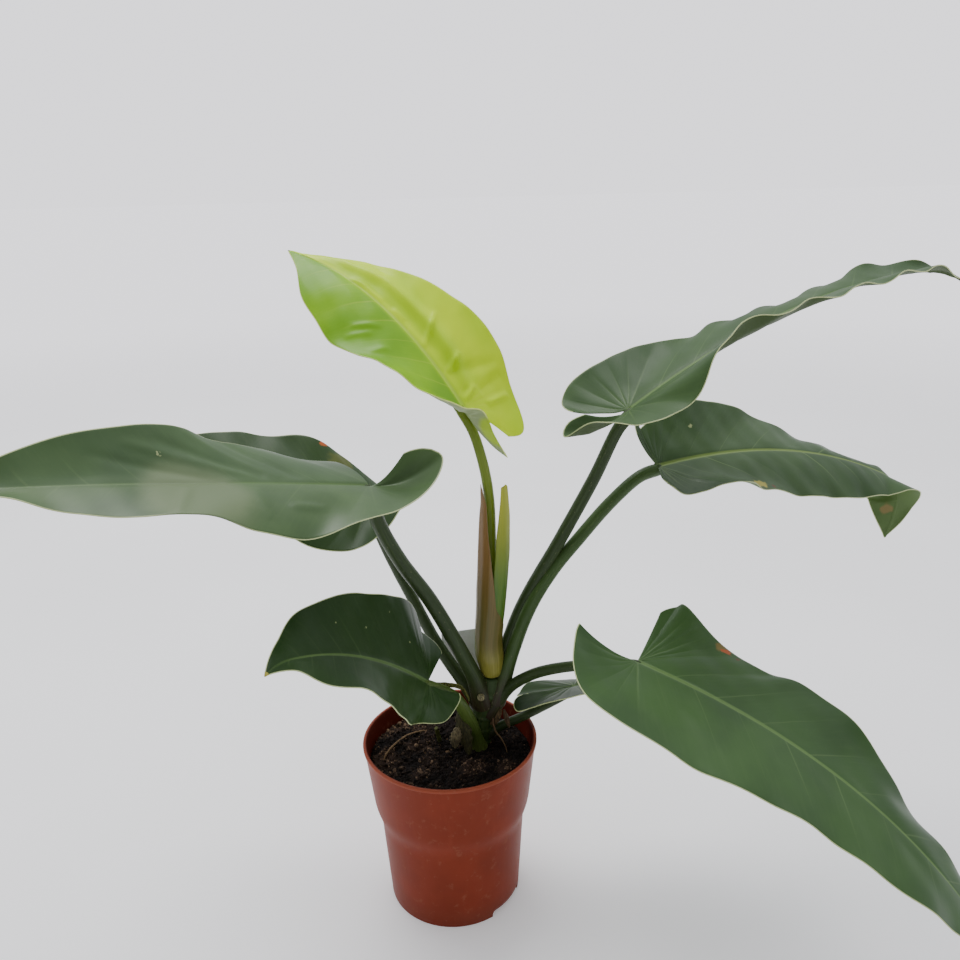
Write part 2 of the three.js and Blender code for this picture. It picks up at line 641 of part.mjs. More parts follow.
for (const leaf of LEAVES) {
  const young = leaf.name === 'newest';
  const { radius } = leaf.petiole;
  const route = shortened(leaf.petiole.route, PETIOLE_SHORT);
  const steps = 2 * route.length;
  const neighbours = young ? [stemWithGap] : taken;
  const petiole = cut(stalk(route, radius, PETIOLE_SIDES, steps), [...neighbours, ...bladeRoom(leaf)]);
  addNode(`petiole_${leaf.name}`, petiole, young ? MATERIALS.youngPetiole : MATERIALS.petiole);
  addNode(`blade_${leaf.name}`, makeBlade(leaf), young ? MATERIALS.youngLeaf : MATERIALS.leaf);
  const petioleWithGap = stalk(route, wider(radius, GAP), PETIOLE_SIDES, steps);
  if (!young) taken.push(petioleWithGap);
  if (route[0][2] < SOIL_TOP + 10) soilCutters.push(petioleWithGap);
}

for (const { name, radius, route } of ROOTS) {
  const shape = (extra) => stalk(route, { start: radius + extra, end: radius * 0.7 + extra }, 6, 10);
  addNode(name, cut(shape(0), taken), MATERIALS.root);
  soilCutters.push(shape(GAP));
}

addNode('stem', stalk(STEM_ROUTE, STEM_RADIUS, 14, 8), MATERIALS.stem);
addNode('sheath', makeSheath(), MATERIALS.sheath);
addNode('plant_label', makeLabel(), MATERIALS.label);
addNode('soil', makeSoil(soilCutters), MATERIALS.soil);

export default plant;
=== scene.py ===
# %% [markdown]
# # A potted philodendron
#
# The plant has eight long heart-shaped leaves on round stalks. One leaf is young, yellow-green and
# still beside the papery sheath that wrapped it. The plant stands in peat in a plastic nursery pot.
#
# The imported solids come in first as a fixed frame. Each piece below is built in the same frame, in
# metres, with its own place in its mesh, and then stands for the solid that it refines.

# %% The frame
import json
import math

import bpy
import numpy as np
from mathutils import Matrix

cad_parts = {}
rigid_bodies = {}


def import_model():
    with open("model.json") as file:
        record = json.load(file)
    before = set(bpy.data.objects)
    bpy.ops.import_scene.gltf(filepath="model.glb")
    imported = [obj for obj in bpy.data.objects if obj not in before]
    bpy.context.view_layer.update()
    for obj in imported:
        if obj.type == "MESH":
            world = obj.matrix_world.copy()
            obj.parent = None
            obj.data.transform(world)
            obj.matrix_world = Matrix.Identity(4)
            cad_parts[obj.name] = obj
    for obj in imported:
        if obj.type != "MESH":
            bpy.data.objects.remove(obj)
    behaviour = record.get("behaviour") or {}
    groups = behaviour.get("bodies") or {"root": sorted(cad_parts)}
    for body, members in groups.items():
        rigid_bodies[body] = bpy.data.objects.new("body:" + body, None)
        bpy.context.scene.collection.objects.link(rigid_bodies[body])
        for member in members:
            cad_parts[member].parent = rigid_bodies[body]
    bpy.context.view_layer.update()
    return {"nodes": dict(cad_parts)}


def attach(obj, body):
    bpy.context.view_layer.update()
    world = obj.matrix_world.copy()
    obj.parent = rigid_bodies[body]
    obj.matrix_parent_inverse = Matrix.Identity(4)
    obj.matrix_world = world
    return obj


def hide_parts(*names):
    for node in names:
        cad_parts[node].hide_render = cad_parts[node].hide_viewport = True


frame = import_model()
MM = 0.001
print("solids in the frame:", len(frame["nodes"]))

# %% [markdown]
# ## The camera
#
# The picture is square. The camera stands a little over half a metre in front of the pot and above
# it, looks down by 18 degrees and is very slightly tilted, as a hand-held camera is. A camera looks
# along its own -Z axis, so the three columns of its matrix are its right, its up and its back.

# %% The camera
CAMERA_PLACE = (0, -0.537, 0.486)
CAMERA_YAW, CAMERA_PITCH, CAMERA_ROLL = (math.radians(a) for a in (2.70, 18.35, -1.45))
CAMERA_LENS, CAMERA_SENSOR = 33.75, 36         # millimetres


def make_camera():
    """Three turned directions, worked out by hand, make the camera's matrix."""
    forward = np.array([math.sin(CAMERA_YAW) * math.cos(CAMERA_PITCH),
                        math.cos(CAMERA_YAW) * math.cos(CAMERA_PITCH),
                        -math.sin(CAMERA_PITCH)])
    level = np.array([math.cos(CAMERA_YAW), -math.sin(CAMERA_YAW), 0])
    upright = np.cross(level, forward)
    right = math.cos(CAMERA_ROLL) * level + math.sin(CAMERA_ROLL) * upright
    up = math.cos(CAMERA_ROLL) * upright - math.sin(CAMERA_ROLL) * level
    data = bpy.data.cameras.new("camera")
    data.lens = CAMERA_LENS
    data.sensor_width = CAMERA_SENSOR
    camera = bpy.data.objects.new("camera", data)
    turn = Matrix(np.column_stack([right, up, -forward]).tolist()).to_4x4()
    camera.matrix_world = Matrix.Translation(CAMERA_PLACE) @ turn
    bpy.context.collection.objects.link(camera)
    bpy.context.scene.camera = camera


make_camera()
print("camera at", CAMERA_PLACE)

# %% [markdown]
# ## Small helpers for node trees and meshes
#
# A node tree is easier to read when a node is made on one line, with its inputs given by name: a
# value is set on the socket, and the output of another node is linked to it. Meshes are made from
# plain arrays in millimetres and turned to metres in one place.

# %% Node helpers
def node(tree, kind, inputs=None, **settings):
    """A new node. inputs maps a socket's name or number to a value or to another socket."""
    made = tree.nodes.new(kind)
    for name, value in settings.items():
        setattr(made, name, value)
    for name, value in (inputs or {}).items():
        socket = made.inputs[name]
        if isinstance(value, bpy.types.NodeSocket):
            tree.links.new(value, socket)
        else:
            socket.default_value = value
    return made


def maths(tree, operation, a, b=0.0):
    return node(tree, "ShaderNodeMath", {0: a, 1: b}, operation=operation).outputs[0]


def plus(tree, a, b):
    return maths(tree, "ADD", a, b)


def times(tree, a, b):
    return maths(tree, "MULTIPLY", a, b)


def about_zero(tree, value, reach):
    """Moves a value of 0 to 1 so that it lies evenly round zero, and makes it reach wide."""
    return times(tree, maths(tree, "SUBTRACT", value, 0.5), reach)


def vector(tree, operation, a, b=None, scale=None):
    """What a vector operation gives: a number for a length or a distance, and else a vector."""
    inputs = {0: a}
    if b is not None:
        inputs[1] = b
    if scale is not None:
        inputs["Scale"] = scale
    made = node(tree, "ShaderNodeVectorMath", inputs, operation=operation)
    return made.outputs["Value" if operation in ("LENGTH", "DISTANCE") else "Vector"]


def split(tree, value):
    """The x, y and z of a vector."""
    return node(tree, "ShaderNodeSeparateXYZ", {0: value}).outputs


def joined(tree, **axes):
    """A vector from numbers given as X, Y and Z."""
    return node(tree, "ShaderNodeCombineXYZ", axes).outputs[0]


def blend(tree, share, a, b):
    """Colour a, with colour b laid over it by share."""
    return node(tree, "ShaderNodeMix", {"Factor": share, 6: a, 7: b}, data_type="RGBA").outputs[2]


def step(tree, value, low, high, to_low=0.0, to_high=1.0):
    """Turns smoothly from to_low to to_high as value goes from low to high."""
    return node(tree, "ShaderNodeMapRange", {"Value": value, "From Min": low, "From Max": high,
                                             "To Min": to_low, "To Max": to_high},
                interpolation_type="SMOOTHSTEP").outputs[0]


def noise(tree, place, scale, detail=3.0, roughness=0.5):
    return node(tree, "ShaderNodeTexNoise", {"Vector": place, "Scale": scale, "Detail": detail,
                                             "Roughness": roughness}).outputs[0]


def object_place(tree):
    return node(tree, "ShaderNodeTexCoord").outputs["Object"]


def attribute(tree, name):
    return node(tree, "ShaderNodeAttribute", attribute_name=name).outputs["Fac"]


def colour(red, green, blue):
    """A screen colour of 0 to 255 as the linear colour that a socket takes."""
    linear = [c / 12.92 if c <= 0.04045 else ((c + 0.055) / 1.055) ** 2.4
              for c in (red / 255, green / 255, blue / 255)]
    return (*linear, 1.0)


def set_values(made, values):
    """Sets a node's inputs. A name is written with low lines for its spaces."""
    for key, value in values.items():
        made.inputs[key.replace("_", " ")].default_value = value


def material(name, **constants):
    """A material with its Principled BSDF. constants are set on the shader's own sockets."""
    made = bpy.data.materials.new(name)
    made.use_nodes = True
    shader = made.node_tree.nodes["Principled BSDF"]
    set_values(shader, constants)
    return made, made.node_tree, shader


def set_bump(tree, shader, height, strength, distance):
    made = node(tree, "ShaderNodeBump", {"Height": height, "Strength": strength, "Distance": distance})
    tree.links.new(made.outputs[0], shader.inputs["Normal"])


print("node helpers ready, mid grey is", [round(value, 3) for value in colour(128, 128, 128)[:3]])

# %% Mesh helpers
def make_object(name, points_mm, faces, smooth=True):
    """An object from points in millimetres and faces."""
    mesh = bpy.data.meshes.new(name)
    mesh.from_pydata((np.asarray(points_mm, float) * MM).tolist(), [], faces)
    mesh.polygons.foreach_set("use_smooth", [smooth] * len(mesh.polygons))
    made = bpy.data.objects.new(name, mesh)
    bpy.context.collection.objects.link(made)
    return made


def set_attribute(piece, name, values):
    """Gives every point of a piece a number that its material can read."""
    layer = piece.data.attributes.new(name, "FLOAT", "POINT")
    layer.data.foreach_set("value", np.asarray(values, np.float32))


def finish_piece(piece, nodes=(), finish=None):
    """Says what a piece rides on, which solids it stands for and what it is finished with."""
    if finish is not None:
        piece.data.materials.clear()
        piece.data.materials.append(finish)
    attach(piece, "root")
    if nodes:
        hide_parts(*nodes)
    print(f"{piece.name}: {len(piece.data.vertices)} points, {len(piece.data.polygons)} faces")


def applied(piece):
    """Turns a piece's modifiers into its plain mesh."""
    evaluated = piece.evaluated_get(bpy.context.evaluated_depsgraph_get())
    mesh = bpy.data.meshes.new_from_object(evaluated)
    piece.modifiers.clear()
    if piece.type == "MESH":
        piece.data = mesh
        return piece
    made = bpy.data.objects.new(piece.name + "_mesh", mesh)
    bpy.context.collection.objects.link(made)
    return made


def smooth_step(low, high, value):
    """0 up to low, 1 from high on, and a soft ramp between them."""
    share = np.clip((value - low) / (high - low), 0, 1)
    return share * share * (3 - 2 * share)


print("mesh helpers ready, half a smooth step is", float(smooth_step(0, 1, 0.5)))

# %% [markdown]
# ## Where the leaves grow
#
# A leaf could be drawn once and copied, but here no two leaves have one outline, and each lobe curls
# in its own way. So each leaf has a row of measures, and one function makes a blade from any row.
#
# Each blade grows from its base along a heading (degrees, 0 is +X and 90 is away from the front),
# climbs at a rise and bends by fall, turn, roll and twist on the way to its tip. Three of them also
# bend sharply near the tip, by hook and hook_roll. A side's fold tips it up or down from the midrib.
# Its lobe holds (along, across, lift) points behind the base, and width and lift give the margin at
# even eighths of the length. A stalk follows its route from the stem to the base and tapers. Every
# number is in millimetres or degrees, as on the solids.

# %% The leaves
LEAVES = {
    "newest": dict(
        base=(17, 11, 352), length=169, heading=150, turn=-8, rise=54, fall=-45, roll=2, twist=-6,
        left=dict(fold=-6, lobe=[(-27, 1, 3), (-43, 2, 7), (-25, 10, 14), (-10, 14, 19)],
                  width=[22, 34, 38, 38, 36, 32, 27, 13], lift=[13, 5, 1, -10, -19, -16, -11, -3]),
        right=dict(fold=23, lobe=[(-10, 7, 3), (-19, 14, -5), (-30, 24, -5), (-30, 37, -4)],
                   width=[42, 44, 42, 38, 34, 27, 19, 9], lift=[1, 6, 9, 7, 4, 0, -3, -5]),
        stalk=dict(radii=(3.9, 2.9), route=[(31, 10, 163.5), (32, 11, 219), (32, 11, 262),
                                            (31.5, 10, 290), (28.5, 8, 313), (22, 9, 337)])),
    "upper_left": dict(
        base=(-42, -27, 316), length=226, heading=214, turn=0, rise=14, fall=-5, roll=-8, twist=-17,
        left=dict(fold=2, lobe=[(-13, 3.5, 20), (-23, 13, 29), (-31, 22, 27), (-21, 33, 14)],
                  width=[40, 43, 43, 39, 33, 29, 21, 10], lift=[2, -4, -13, -8, 1, -1, -2, 2]),
        right=dict(fold=12, lobe=[(5, 8, -3), (3, 18, -7), (1, 29, -9), (5, 38, -9)],
                   width=[41, 40, 39, 37, 35, 30, 23, 13], lift=[-9, -9, -4, 0, 9, 10, 9, 5]),
        stalk=dict(radii=(5.5, 4.2), route=[(24, 9, 140), (19, 5, 162), (9, 0, 188), (-9, -9, 230),
                                            (-27, -17, 263), (-38, -23, 290)])),
    "rear_left": dict(
        base=(-49, 38, 282), length=206, heading=175, turn=0, rise=19, fall=-30, roll=-23, twist=-2,
        left=dict(fold=-1, lobe=[(-11, 2, 7), (-22, 9, 19), (-23, 15, 20), (-16, 31, 10)],
                  width=[42, 45, 40, 36, 32, 27, 20, 10], lift=[-3, -7, -3, -1, 0, 0, 0, 0]),
        right=dict(fold=8, lobe=[(-2, 8, 0), (-5, 15, 0), (-5, 21, -2), (-2, 24, -6)],
                   width=[27, 36, 40, 36, 33, 27, 20, 10], lift=[-9, -5, 3, 0, 2, 2, 1, 0]),
        stalk=dict(radii=(4.6, 3.2), route=[(24, 14, 134), (12, 17, 152), (-6, 24, 180),
                                            (-22, 31, 213), (-35, 35, 241), (-45, 38, 266)])),
    "lower_left": dict(
        base=(-13, -30, 183), length=153, heading=227, turn=12, rise=43, fall=-30, roll=-46, twist=11,
        hook=-30, hook_start=0.86,
        left=dict(fold=2, lobe=[(-15, 4, 9), (-21, 8, 10), (-20, 15, 5), (-20, 20, -6)],
                  width=[24, 31, 38, 38, 34, 27, 20, 8], lift=[-11, -8, -3, 1, 4, 5, -1, 0]),
        right=dict(fold=12, lobe=[(-8, 10, -2), (-17, 23, 1), (-17, 35, -4), (-3, 44, -10)],
                   width=[48, 48, 44, 40, 37, 32, 26, 12], lift=[-7, 2, 5, 5, 4, 1, -3, -3]),
        stalk=dict(radii=(5, 3.6), route=[(21, 7, 104), (17, 3, 122), (12, -3, 140), (3, -13, 161)])),
    "upper_right": dict(
        base=(120, 7, 348), length=253, heading=1, turn=18, rise=36, fall=-42, roll=9, twist=-21,
        hook=-20, hook_start=0.8,
        left=dict(fold=12, lobe=[(-14, 8, 6), (-29, 19, 9), (-31, 32, 10), (-19, 42, 11)],
                  width=[45, 44, 40, 37, 32, 27, 21, 11], lift=[9, 3, -7, -9, -10, -6, 3, 4]),
        right=dict(fold=11, lobe=[(-18, 4, 14), (-34, 14, 22), (-41, 25, 19), (-22, 34, 18)],
                   width=[41, 43, 40, 37, 34, 28, 21, 11], lift=[0, -7, 14, 9, 2, -2, -2, -1]),
        stalk=dict(radii=(4.8, 3.8), route=[(32, 14, 150), (51, 16, 207), (78, 14, 259),
                                            (100, 11, 303), (115, 8, 337)])),
    "middle_right": dict(
        base=(146, 29, 303), length=248, heading=20, turn=-15, rise=5, fall=-44, roll=26, twist=-8,
        hook=-68, hook_roll=-105, hook_start=0.76, hook_end=0.89,
        left=dict(fold=10, lobe=[(-7.5, 15, 10), (-8, 22, 12.5), (-6, 27, 13), (-1.5, 27, 9)],
                  width=[28, 42, 42, 36, 27, 20, 14, 21], lift=[5, 6, 5, -3, -9, -10, -8, 3]),
        right=dict(fold=-1, lobe=[(-4, 8, 1), (-6, 13, 3), (-8, 21, 7), (-9, 28, 10)],
                   width=[36, 41, 39, 39, 36, 31, 21, 14], lift=[8, 15, 2, -7, -10, -10, -6, -2]),
        stalk=dict(radii=(4.8, 3.9), route=[(33, 8, 142), (56, 11, 209), (73, 14, 237),
                                            (91, 17, 258), (113, 22, 281), (133, 26, 297)])),
    "lower_right": dict(
        base=(117, -53, 204), length=267, heading=-43, turn=16, rise=-5, fall=-60, roll=5, twist=2,
        left=dict(fold=3, lobe=[(-3, 13, 1), (-9, 30, 3), (-11, 47, 4), (-6, 59, 3)],
                  width=[62, 51, 44, 42, 37, 27, 18, 10], lift=[4, -5, -2, 5, 3, -6, -2, 0]),
        right=dict(fold=1, lobe=[(-20, 6, 9), (-31, 8, 20), (-36, 14, 17), (-20, 41, 13)],
                   width=[55, 55, 52, 45, 42, 37, 28, 15], lift=[6, -1, -6, -5, -2, -2, -1, 0]),
        stalk=dict(radii=(4, 3), route=[(28, 8, 132), (42, 4, 155), (54, -4, 168), (66, -14, 178),
                                        (81, -26, 187), (102, -42, 196)])),
    "rear_right": dict(
        base=(88, 10, 150), length=126, heading=4, turn=0, rise=10, fall=-25, roll=-18, twist=0,
        left=dict(fold=2, lobe=[(-16, 1, 2), (-38, 6, 1), (-38, 15, 0), (-27, 25, 3)],
                  width=[27, 30, 30, 29, 26, 21, 16, 8], lift=[-3, -6, -5, -2, 0, 0, 0, 0]),
        right=dict(fold=4, lobe=[(-18, 1, 4), (-41, 6, 3), (-43, 17, -4), (-26, 24, -2)],
                   width=[33, 35, 33, 29, 25, 21, 16, 8], lift=[0, -1, -1, 0, 0, 0, 0, 0]),
        stalk=dict(radii=(3.4, 2.6), route=[(22, 10, 112), (36, 10, 121), (52, 10, 128),
                                            (74, 10, 139)])),
}
print("leaves:", ", ".join(LEAVES))

# %% [markdown]
# ## The shape of a blade
#
# A philodendron's side veins leave the midrib and run to the margin, and those of the lobes fan out
# from the point where the stalk ends. A flat outline could be filled with a square grid, but then
# no vein would follow an edge of the mesh, and the margin would be stepped. So the grid of a blade
# follows the veins: a row is the path of a vein, and a column stands at the same share of every
# path. The midrib is a curve that is bent step by step, and the margin is a smooth curve through a
# few measured points.

# %% Midrib and margin
LOBE_POINTS, WIDTH_POINTS = 4, 8
MARGIN_SPANS = LOBE_POINTS + WIDTH_POINTS + 1
FAN_END = 0.17
FAN_SHARE = (LOBE_POINTS + 1 + FAN_END * WIDTH_POINTS) / MARGIN_SPANS
MIDRIB_STEPS = 240
BEND_POWER = 1.3                # more than 1, so that a midrib bends more towards its tip


def midrib_of(leaf):
    """A function from distances along the midrib to points, forward, side and up directions."""
    share = np.linspace(0, 1, MIDRIB_STEPS + 1)
    start, end = leaf.get("hook_start", 0), leaf.get("hook_end", 1)
    hooked = np.clip((share - start) / (end - start), 0, 1) ** BEND_POWER
    climb = np.radians(leaf["rise"] + leaf["fall"] * share ** BEND_POWER + leaf.get("hook", 0) * hooked)
    heading = np.radians(leaf["heading"] + leaf["turn"] * share)
    roll = np.radians(leaf["roll"] + leaf["twist"] * share + leaf.get("hook_roll", 0) * hooked)[:, None]
    forward = np.column_stack([np.cos(climb) * np.cos(heading), np.cos(climb) * np.sin(heading),
                               np.sin(climb)])
    level = np.column_stack([-np.sin(heading), np.cos(heading), 0 * share])
    side = level * np.cos(roll) + np.cross(forward, level) * np.sin(roll)
    up = np.cross(forward, side)
    steps = (forward[1:] + forward[:-1]) / 2 * leaf["length"] / MIDRIB_STEPS
    point = np.vstack([np.zeros(3), np.cumsum(steps, axis=0)]) + leaf["base"]

    def at(distance):
        distance = np.asarray(distance, float)
        place = np.clip(distance / leaf["length"], 0, 1)
        found = [np.stack([np.interp(place, share, values[:, axis]) for axis in range(3)], axis=-1)
                 for values in (point, forward, side, up)]
        found[0] += found[1] * np.minimum(distance, 0)[..., None]
        return found

    return at


def smooth_curve(points, at):
    """An even Catmull-Rom curve through points; at counts points, from 0."""
    points = np.asarray(points, float)
    last = len(points) - 1
    at = np.clip(at, 0, last)
    i = np.minimum(np.floor(at).astype(int), last - 1)
    a, b, c, d = (points[np.clip(i + k, 0, last)] for k in (-1, 0, 1, 2))
    t = (at - i)[..., None]
    return 0.5 * (2 * b + (c - a) * t + (2 * a - 5 * b + 4 * c - d) * t ** 2
                  + (3 * b - a - 3 * c + d) * t ** 3)


def margin_of(leaf, side):
    """A function from shares of the margin to (along, across, lift)."""
    eighths = leaf["length"] * np.arange(WIDTH_POINTS) / WIDTH_POINTS
    points = [(0, 0, 0), *side["lobe"], *zip(eighths, side["width"], side["lift"]),
              (leaf["length"], 0, 0)]
    return lambda share: smooth_curve(points, np.asarray(share) * MARGIN_SPANS)


print("points that give a side's margin:", MARGIN_SPANS + 1)

# %% Rows and columns of the grid
ROWS_PER_VEIN = 12
FAN_VEINS, MIDRIB_VEINS = 6, 9
FAN_ROWS, MIDRIB_ROWS = FAN_VEINS * ROWS_PER_VEIN, MIDRIB_VEINS * ROWS_PER_VEIN
ROWS = FAN_ROWS + MIDRIB_ROWS
FAN_SLACK, FAN_SAMPLES = 0.06, 1200
CROWDING = 1.1                  # more than 1, so that veins start closer together near the base
COLUMNS = np.concatenate([[0, 0.012, 0.026, 0.044, 0.066, 0.092], np.linspace(0.12, 1, 30)])


def vein_ends(margin):
    """The share of the margin where each row ends. The fan's rows stand at even angles."""
    shares = np.linspace(1 / MARGIN_SPANS, FAN_SHARE, FAN_SAMPLES)
    place = margin(shares)
    angles = np.arctan2(place[:, 1], place[:, 0])
    outermost = np.maximum.accumulate(angles[::-1])[::-1]
    wanted = np.linspace(angles.max() - FAN_SLACK, angles[-1], FAN_ROWS + 1)[:-1]
    fan = [shares[np.nonzero(outermost >= angle)[0][-1]] for angle in wanted]
    return np.concatenate([fan, np.linspace(FAN_SHARE, 1, MIDRIB_ROWS + 1)])


def half_blade(leaf, side, sign):
    """Points of one side's grid, with their distances along and across, in millimetres."""
    midrib = midrib_of(leaf)
    edge = margin_of(leaf, side)(vein_ends(margin_of(leaf, side)))
    passed = np.clip(np.arange(ROWS + 1) - FAN_ROWS, 0, None) / MIDRIB_ROWS
    origin = leaf["length"] * passed ** CROWDING
    share = COLUMNS[None, :]
    along = origin[:, None] * (1 - share) + edge[:, 0:1] * share
    across = edge[:, 1:2] * share
    fold = math.radians(side["fold"])
    point, _, outward, up = midrib(along)
    point = point + outward * (sign * across * math.cos(fold))[..., None]
    point = point + up * (across * math.sin(fold) + edge[:, 2:3] * share ** 2)[..., None]
    return point, along, across


print("rows:", ROWS + 1, "columns:", len(COLUMNS))

# %% [markdown]
# ## From grid to leaf
#
# The lamina of a leaf is quilted: it sinks along each side vein and swells between them, by half a
# millimetre or so. A groove runs along the midrib on top. Quilting could be left to a bump map, but
# a bump doesn't show where a leaf is seen edge on, and these leaves mirror the light in broad soft
# patches that only a real shape gives. So it moves the middle of the sheet. The two most crumpled
# leaves also get soft creases along lines read from the photo.

# %% Quilting
rng = np.random.default_rng(11)
WAVES = [(rng.normal(size=3), rng.uniform(0, 2 * math.pi)) for _ in range(9)]
GROOVE_DEPTH, GROOVE_WIDTH = 0.5, 1.8


def gentle_noise(points, wavelength):
    """Smooth unevenness between about -1 and 1, from a few plane waves."""
    total = 0
    for direction, phase in WAVES:
        unit = direction / np.linalg.norm(direction)
        stretch = 1 + 0.35 * direction[0]
        total = total + np.sin(points @ unit * 2 * math.pi / (wavelength * stretch) + phase)
    return total / math.sqrt(2 * len(WAVES)) / 1.2


def crease(point, places, height, width):
    """A soft fold of the sheet along a line through places, given as shares of rows and columns."""
    spots = [point[int(row * ROWS), np.abs(COLUMNS - column).argmin()] for row, column in places]
    nearest, passed = np.full(point.shape[:2], 1e9), np.zeros(point.shape[:2])
    for i, (a, b) in enumerate(zip(spots, spots[1:])):
        share = np.clip((point - a) @ (b - a) / ((b - a) @ (b - a)), 0, 1)
        away = np.linalg.norm(point - a - share[..., None] * (b - a), axis=-1)
        passed = np.where(away < nearest, i + share, passed)
        nearest = np.minimum(nearest, away)
    fade = np.sin(math.pi * np.clip(passed / (len(spots) - 1), 0, 1)) ** 0.5
    return height * np.exp(-(nearest / width) ** 2) * fade


def relief_of(leaf, sign, point, along, across, look):
    """How far the sheet rises over its smooth shape, and the distance to the nearest vein."""
    vein = (np.arange(ROWS + 1) + (0 if sign > 0 else ROWS_PER_VEIN // 2)) / ROWS_PER_VEIN
    draws = np.random.default_rng(look["seed"] + (3 if sign > 0 else 5))
    swell = draws.uniform(0.25, 1.25, FAN_VEINS + MIDRIB_VEINS + 3)
    strength = draws.uniform(0, 1, FAN_VEINS + MIDRIB_VEINS + 3)
    between = np.abs(np.sin(math.pi * vein)) ** 0.8
    window = np.sin(math.pi * np.clip(COLUMNS * 0.86 + 0.04, 0, 1)) ** 0.9
    pleat = look["pleat"] * (swell[np.floor(vein).astype(int)] * between)[:, None] * window
    groove = -GROOVE_DEPTH * np.exp(-(across / GROOVE_WIDTH) ** 2)
    groove = groove * (1 - np.clip(along / leaf["length"], 0, 1))
    lumps = look["lumps"] * gentle_noise(point, look["lump_size"]) * np.minimum(1, COLUMNS * 4)
    ripple = look.get("ripple", 0.3) * np.sin(vein * 4.2 + sign)[:, None] * COLUMNS ** 4
    lumps = lumps + ripple * (vein > FAN_VEINS)[:, None] * smooth_step(0, 1.5, vein - FAN_VEINS)[:, None]
    for side, places, height, width in look.get("creases", ()):
        if side == sign:
            lumps = lumps + crease(point, places, height, width)
    spacing = np.linalg.norm(np.gradient(point, axis=0), axis=-1) * ROWS_PER_VEIN
    away = np.abs(vein - np.round(vein))[:, None] * spacing
    weak = strength[np.round(vein).astype(int)][:, None]
    return pleat + groove + lumps, away + look["faint_veins"] * weak


print("waves in the unevenness:", len(WAVES))

# %% [markdown]
# The two sides of a blade share the points of the midrib, and all rows of the fan start in one
# point. Two separate sheets that only touch would leave a seam there, so the points are numbered
# once and both sides use the same numbers. Faces that lose a corner this way become triangles.

# %% The middle sheet
def sheet_of(leaf, look):
    """The middle of a blade: points, faces with their places on the leaf, and attributes."""
    points, vein, rib, edge, reach = [], [], [], [], []
    faces, places = [], []
    spine = None
    for sign, side in ((1, leaf["left"]), (-1, leaf["right"])):
        point, along, across = half_blade(leaf, side, sign)
        relief, away = relief_of(leaf, sign, point, along, across, look)
        ray = np.linalg.norm(point[:, -1] - point[:, 0], axis=-1)[:, None]
        from_rib = np.where(along > 0, across, np.hypot(along, across))
        number = np.arange(len(points), len(points) + point[..., 0].size).reshape(point.shape[:2])
        if spine is None:
            spine = number[:, 0].copy()
            spine[:FAN_ROWS + 1] = spine[0]
            spine[ROWS] = number[ROWS, -1]
        number[:, 0] = spine
        number[ROWS, :] = spine[ROWS]
        points += list(zip(point.reshape(-1, 3).tolist(), relief.ravel().tolist()))
        vein += away.ravel().tolist()
        rib += from_rib.ravel().tolist()
        edge += (ray * (1 - COLUMNS)).ravel().tolist()
        reach += (sign * np.broadcast_to(COLUMNS, away.shape)).ravel().tolist()
        for row in range(ROWS):
            for column in range(len(COLUMNS) - 1):
                corners = [(row, column), (row + 1, column), (row + 1, column + 1), (row, column + 1)]
                if sign < 0:
                    corners.reverse()
                kept = []
                for corner in corners:
                    if all(number[corner] != number[other] for other in kept):
                        kept.append(corner)
                if len(kept) > 2:
                    faces.append([int(number[corner]) for corner in kept])
                    places.append([(r / ROWS, 0.5 + 0.5 * sign * COLUMNS[c]) for r, c in kept])
    used = sorted({i for face in faces for i in face})
    renumber = {old: new for new, old in enumerate(used)}
    faces = [[renumber[i] for i in face] for face in faces]
    middle = np.array([points[i][0] for i in used])
    relief = np.array([points[i][1] for i in used])
    values = {"vein": vein, "rib": rib, "edge": edge, "reach": reach}
    values = {key: np.array(value)[used] for key, value in values.items()}
    return middle, relief, faces, places, values


print("faces in a full sheet:", 2 * ROWS * (len(COLUMNS) - 1))

# %% [markdown]
# The sheet gets an upper and a lower face, half a thickness to either side, and a rounded rim
# between them. A modifier could thicken it evenly, but below a real leaf the midrib stands out as a
# round rib that the stalk runs into, so the lower face is moved by its own amount. Five attributes
# tell the material how far a point is from the nearest side vein, from the midrib and from the
# margin, how far out on its side it lies, and whether it is on the underside.

# %% Upper face, lower face and rim
def normals_of(points, faces):
    """The mean direction of the faces round each point."""
    first, second, third, last = (np.array([face[k] for face in faces]) for k in (0, 1, 2, -1))
    direction = np.cross(points[third] - points[first], points[last] - points[second])
    flat = last == third
    direction[flat] = np.cross((points[second] - points[first])[flat], (points[third] - points[first])[flat])
    total = np.zeros_like(points)
    for corner in (first, second, third, last):
        np.add.at(total, corner, direction)
    return total / np.maximum(np.linalg.norm(total, axis=1), 1e-9)[:, None]


BLADE_THICKNESS = 0.62
RIB_HEIGHT, RIB_HALF_WIDTH, RIB_TAPER, RIB_AT_TIP = 1.9, 2.7, 0.8, 0.4
SIDE_RIB_HEIGHT, SIDE_RIB_WIDTH = 0.3, 0.9


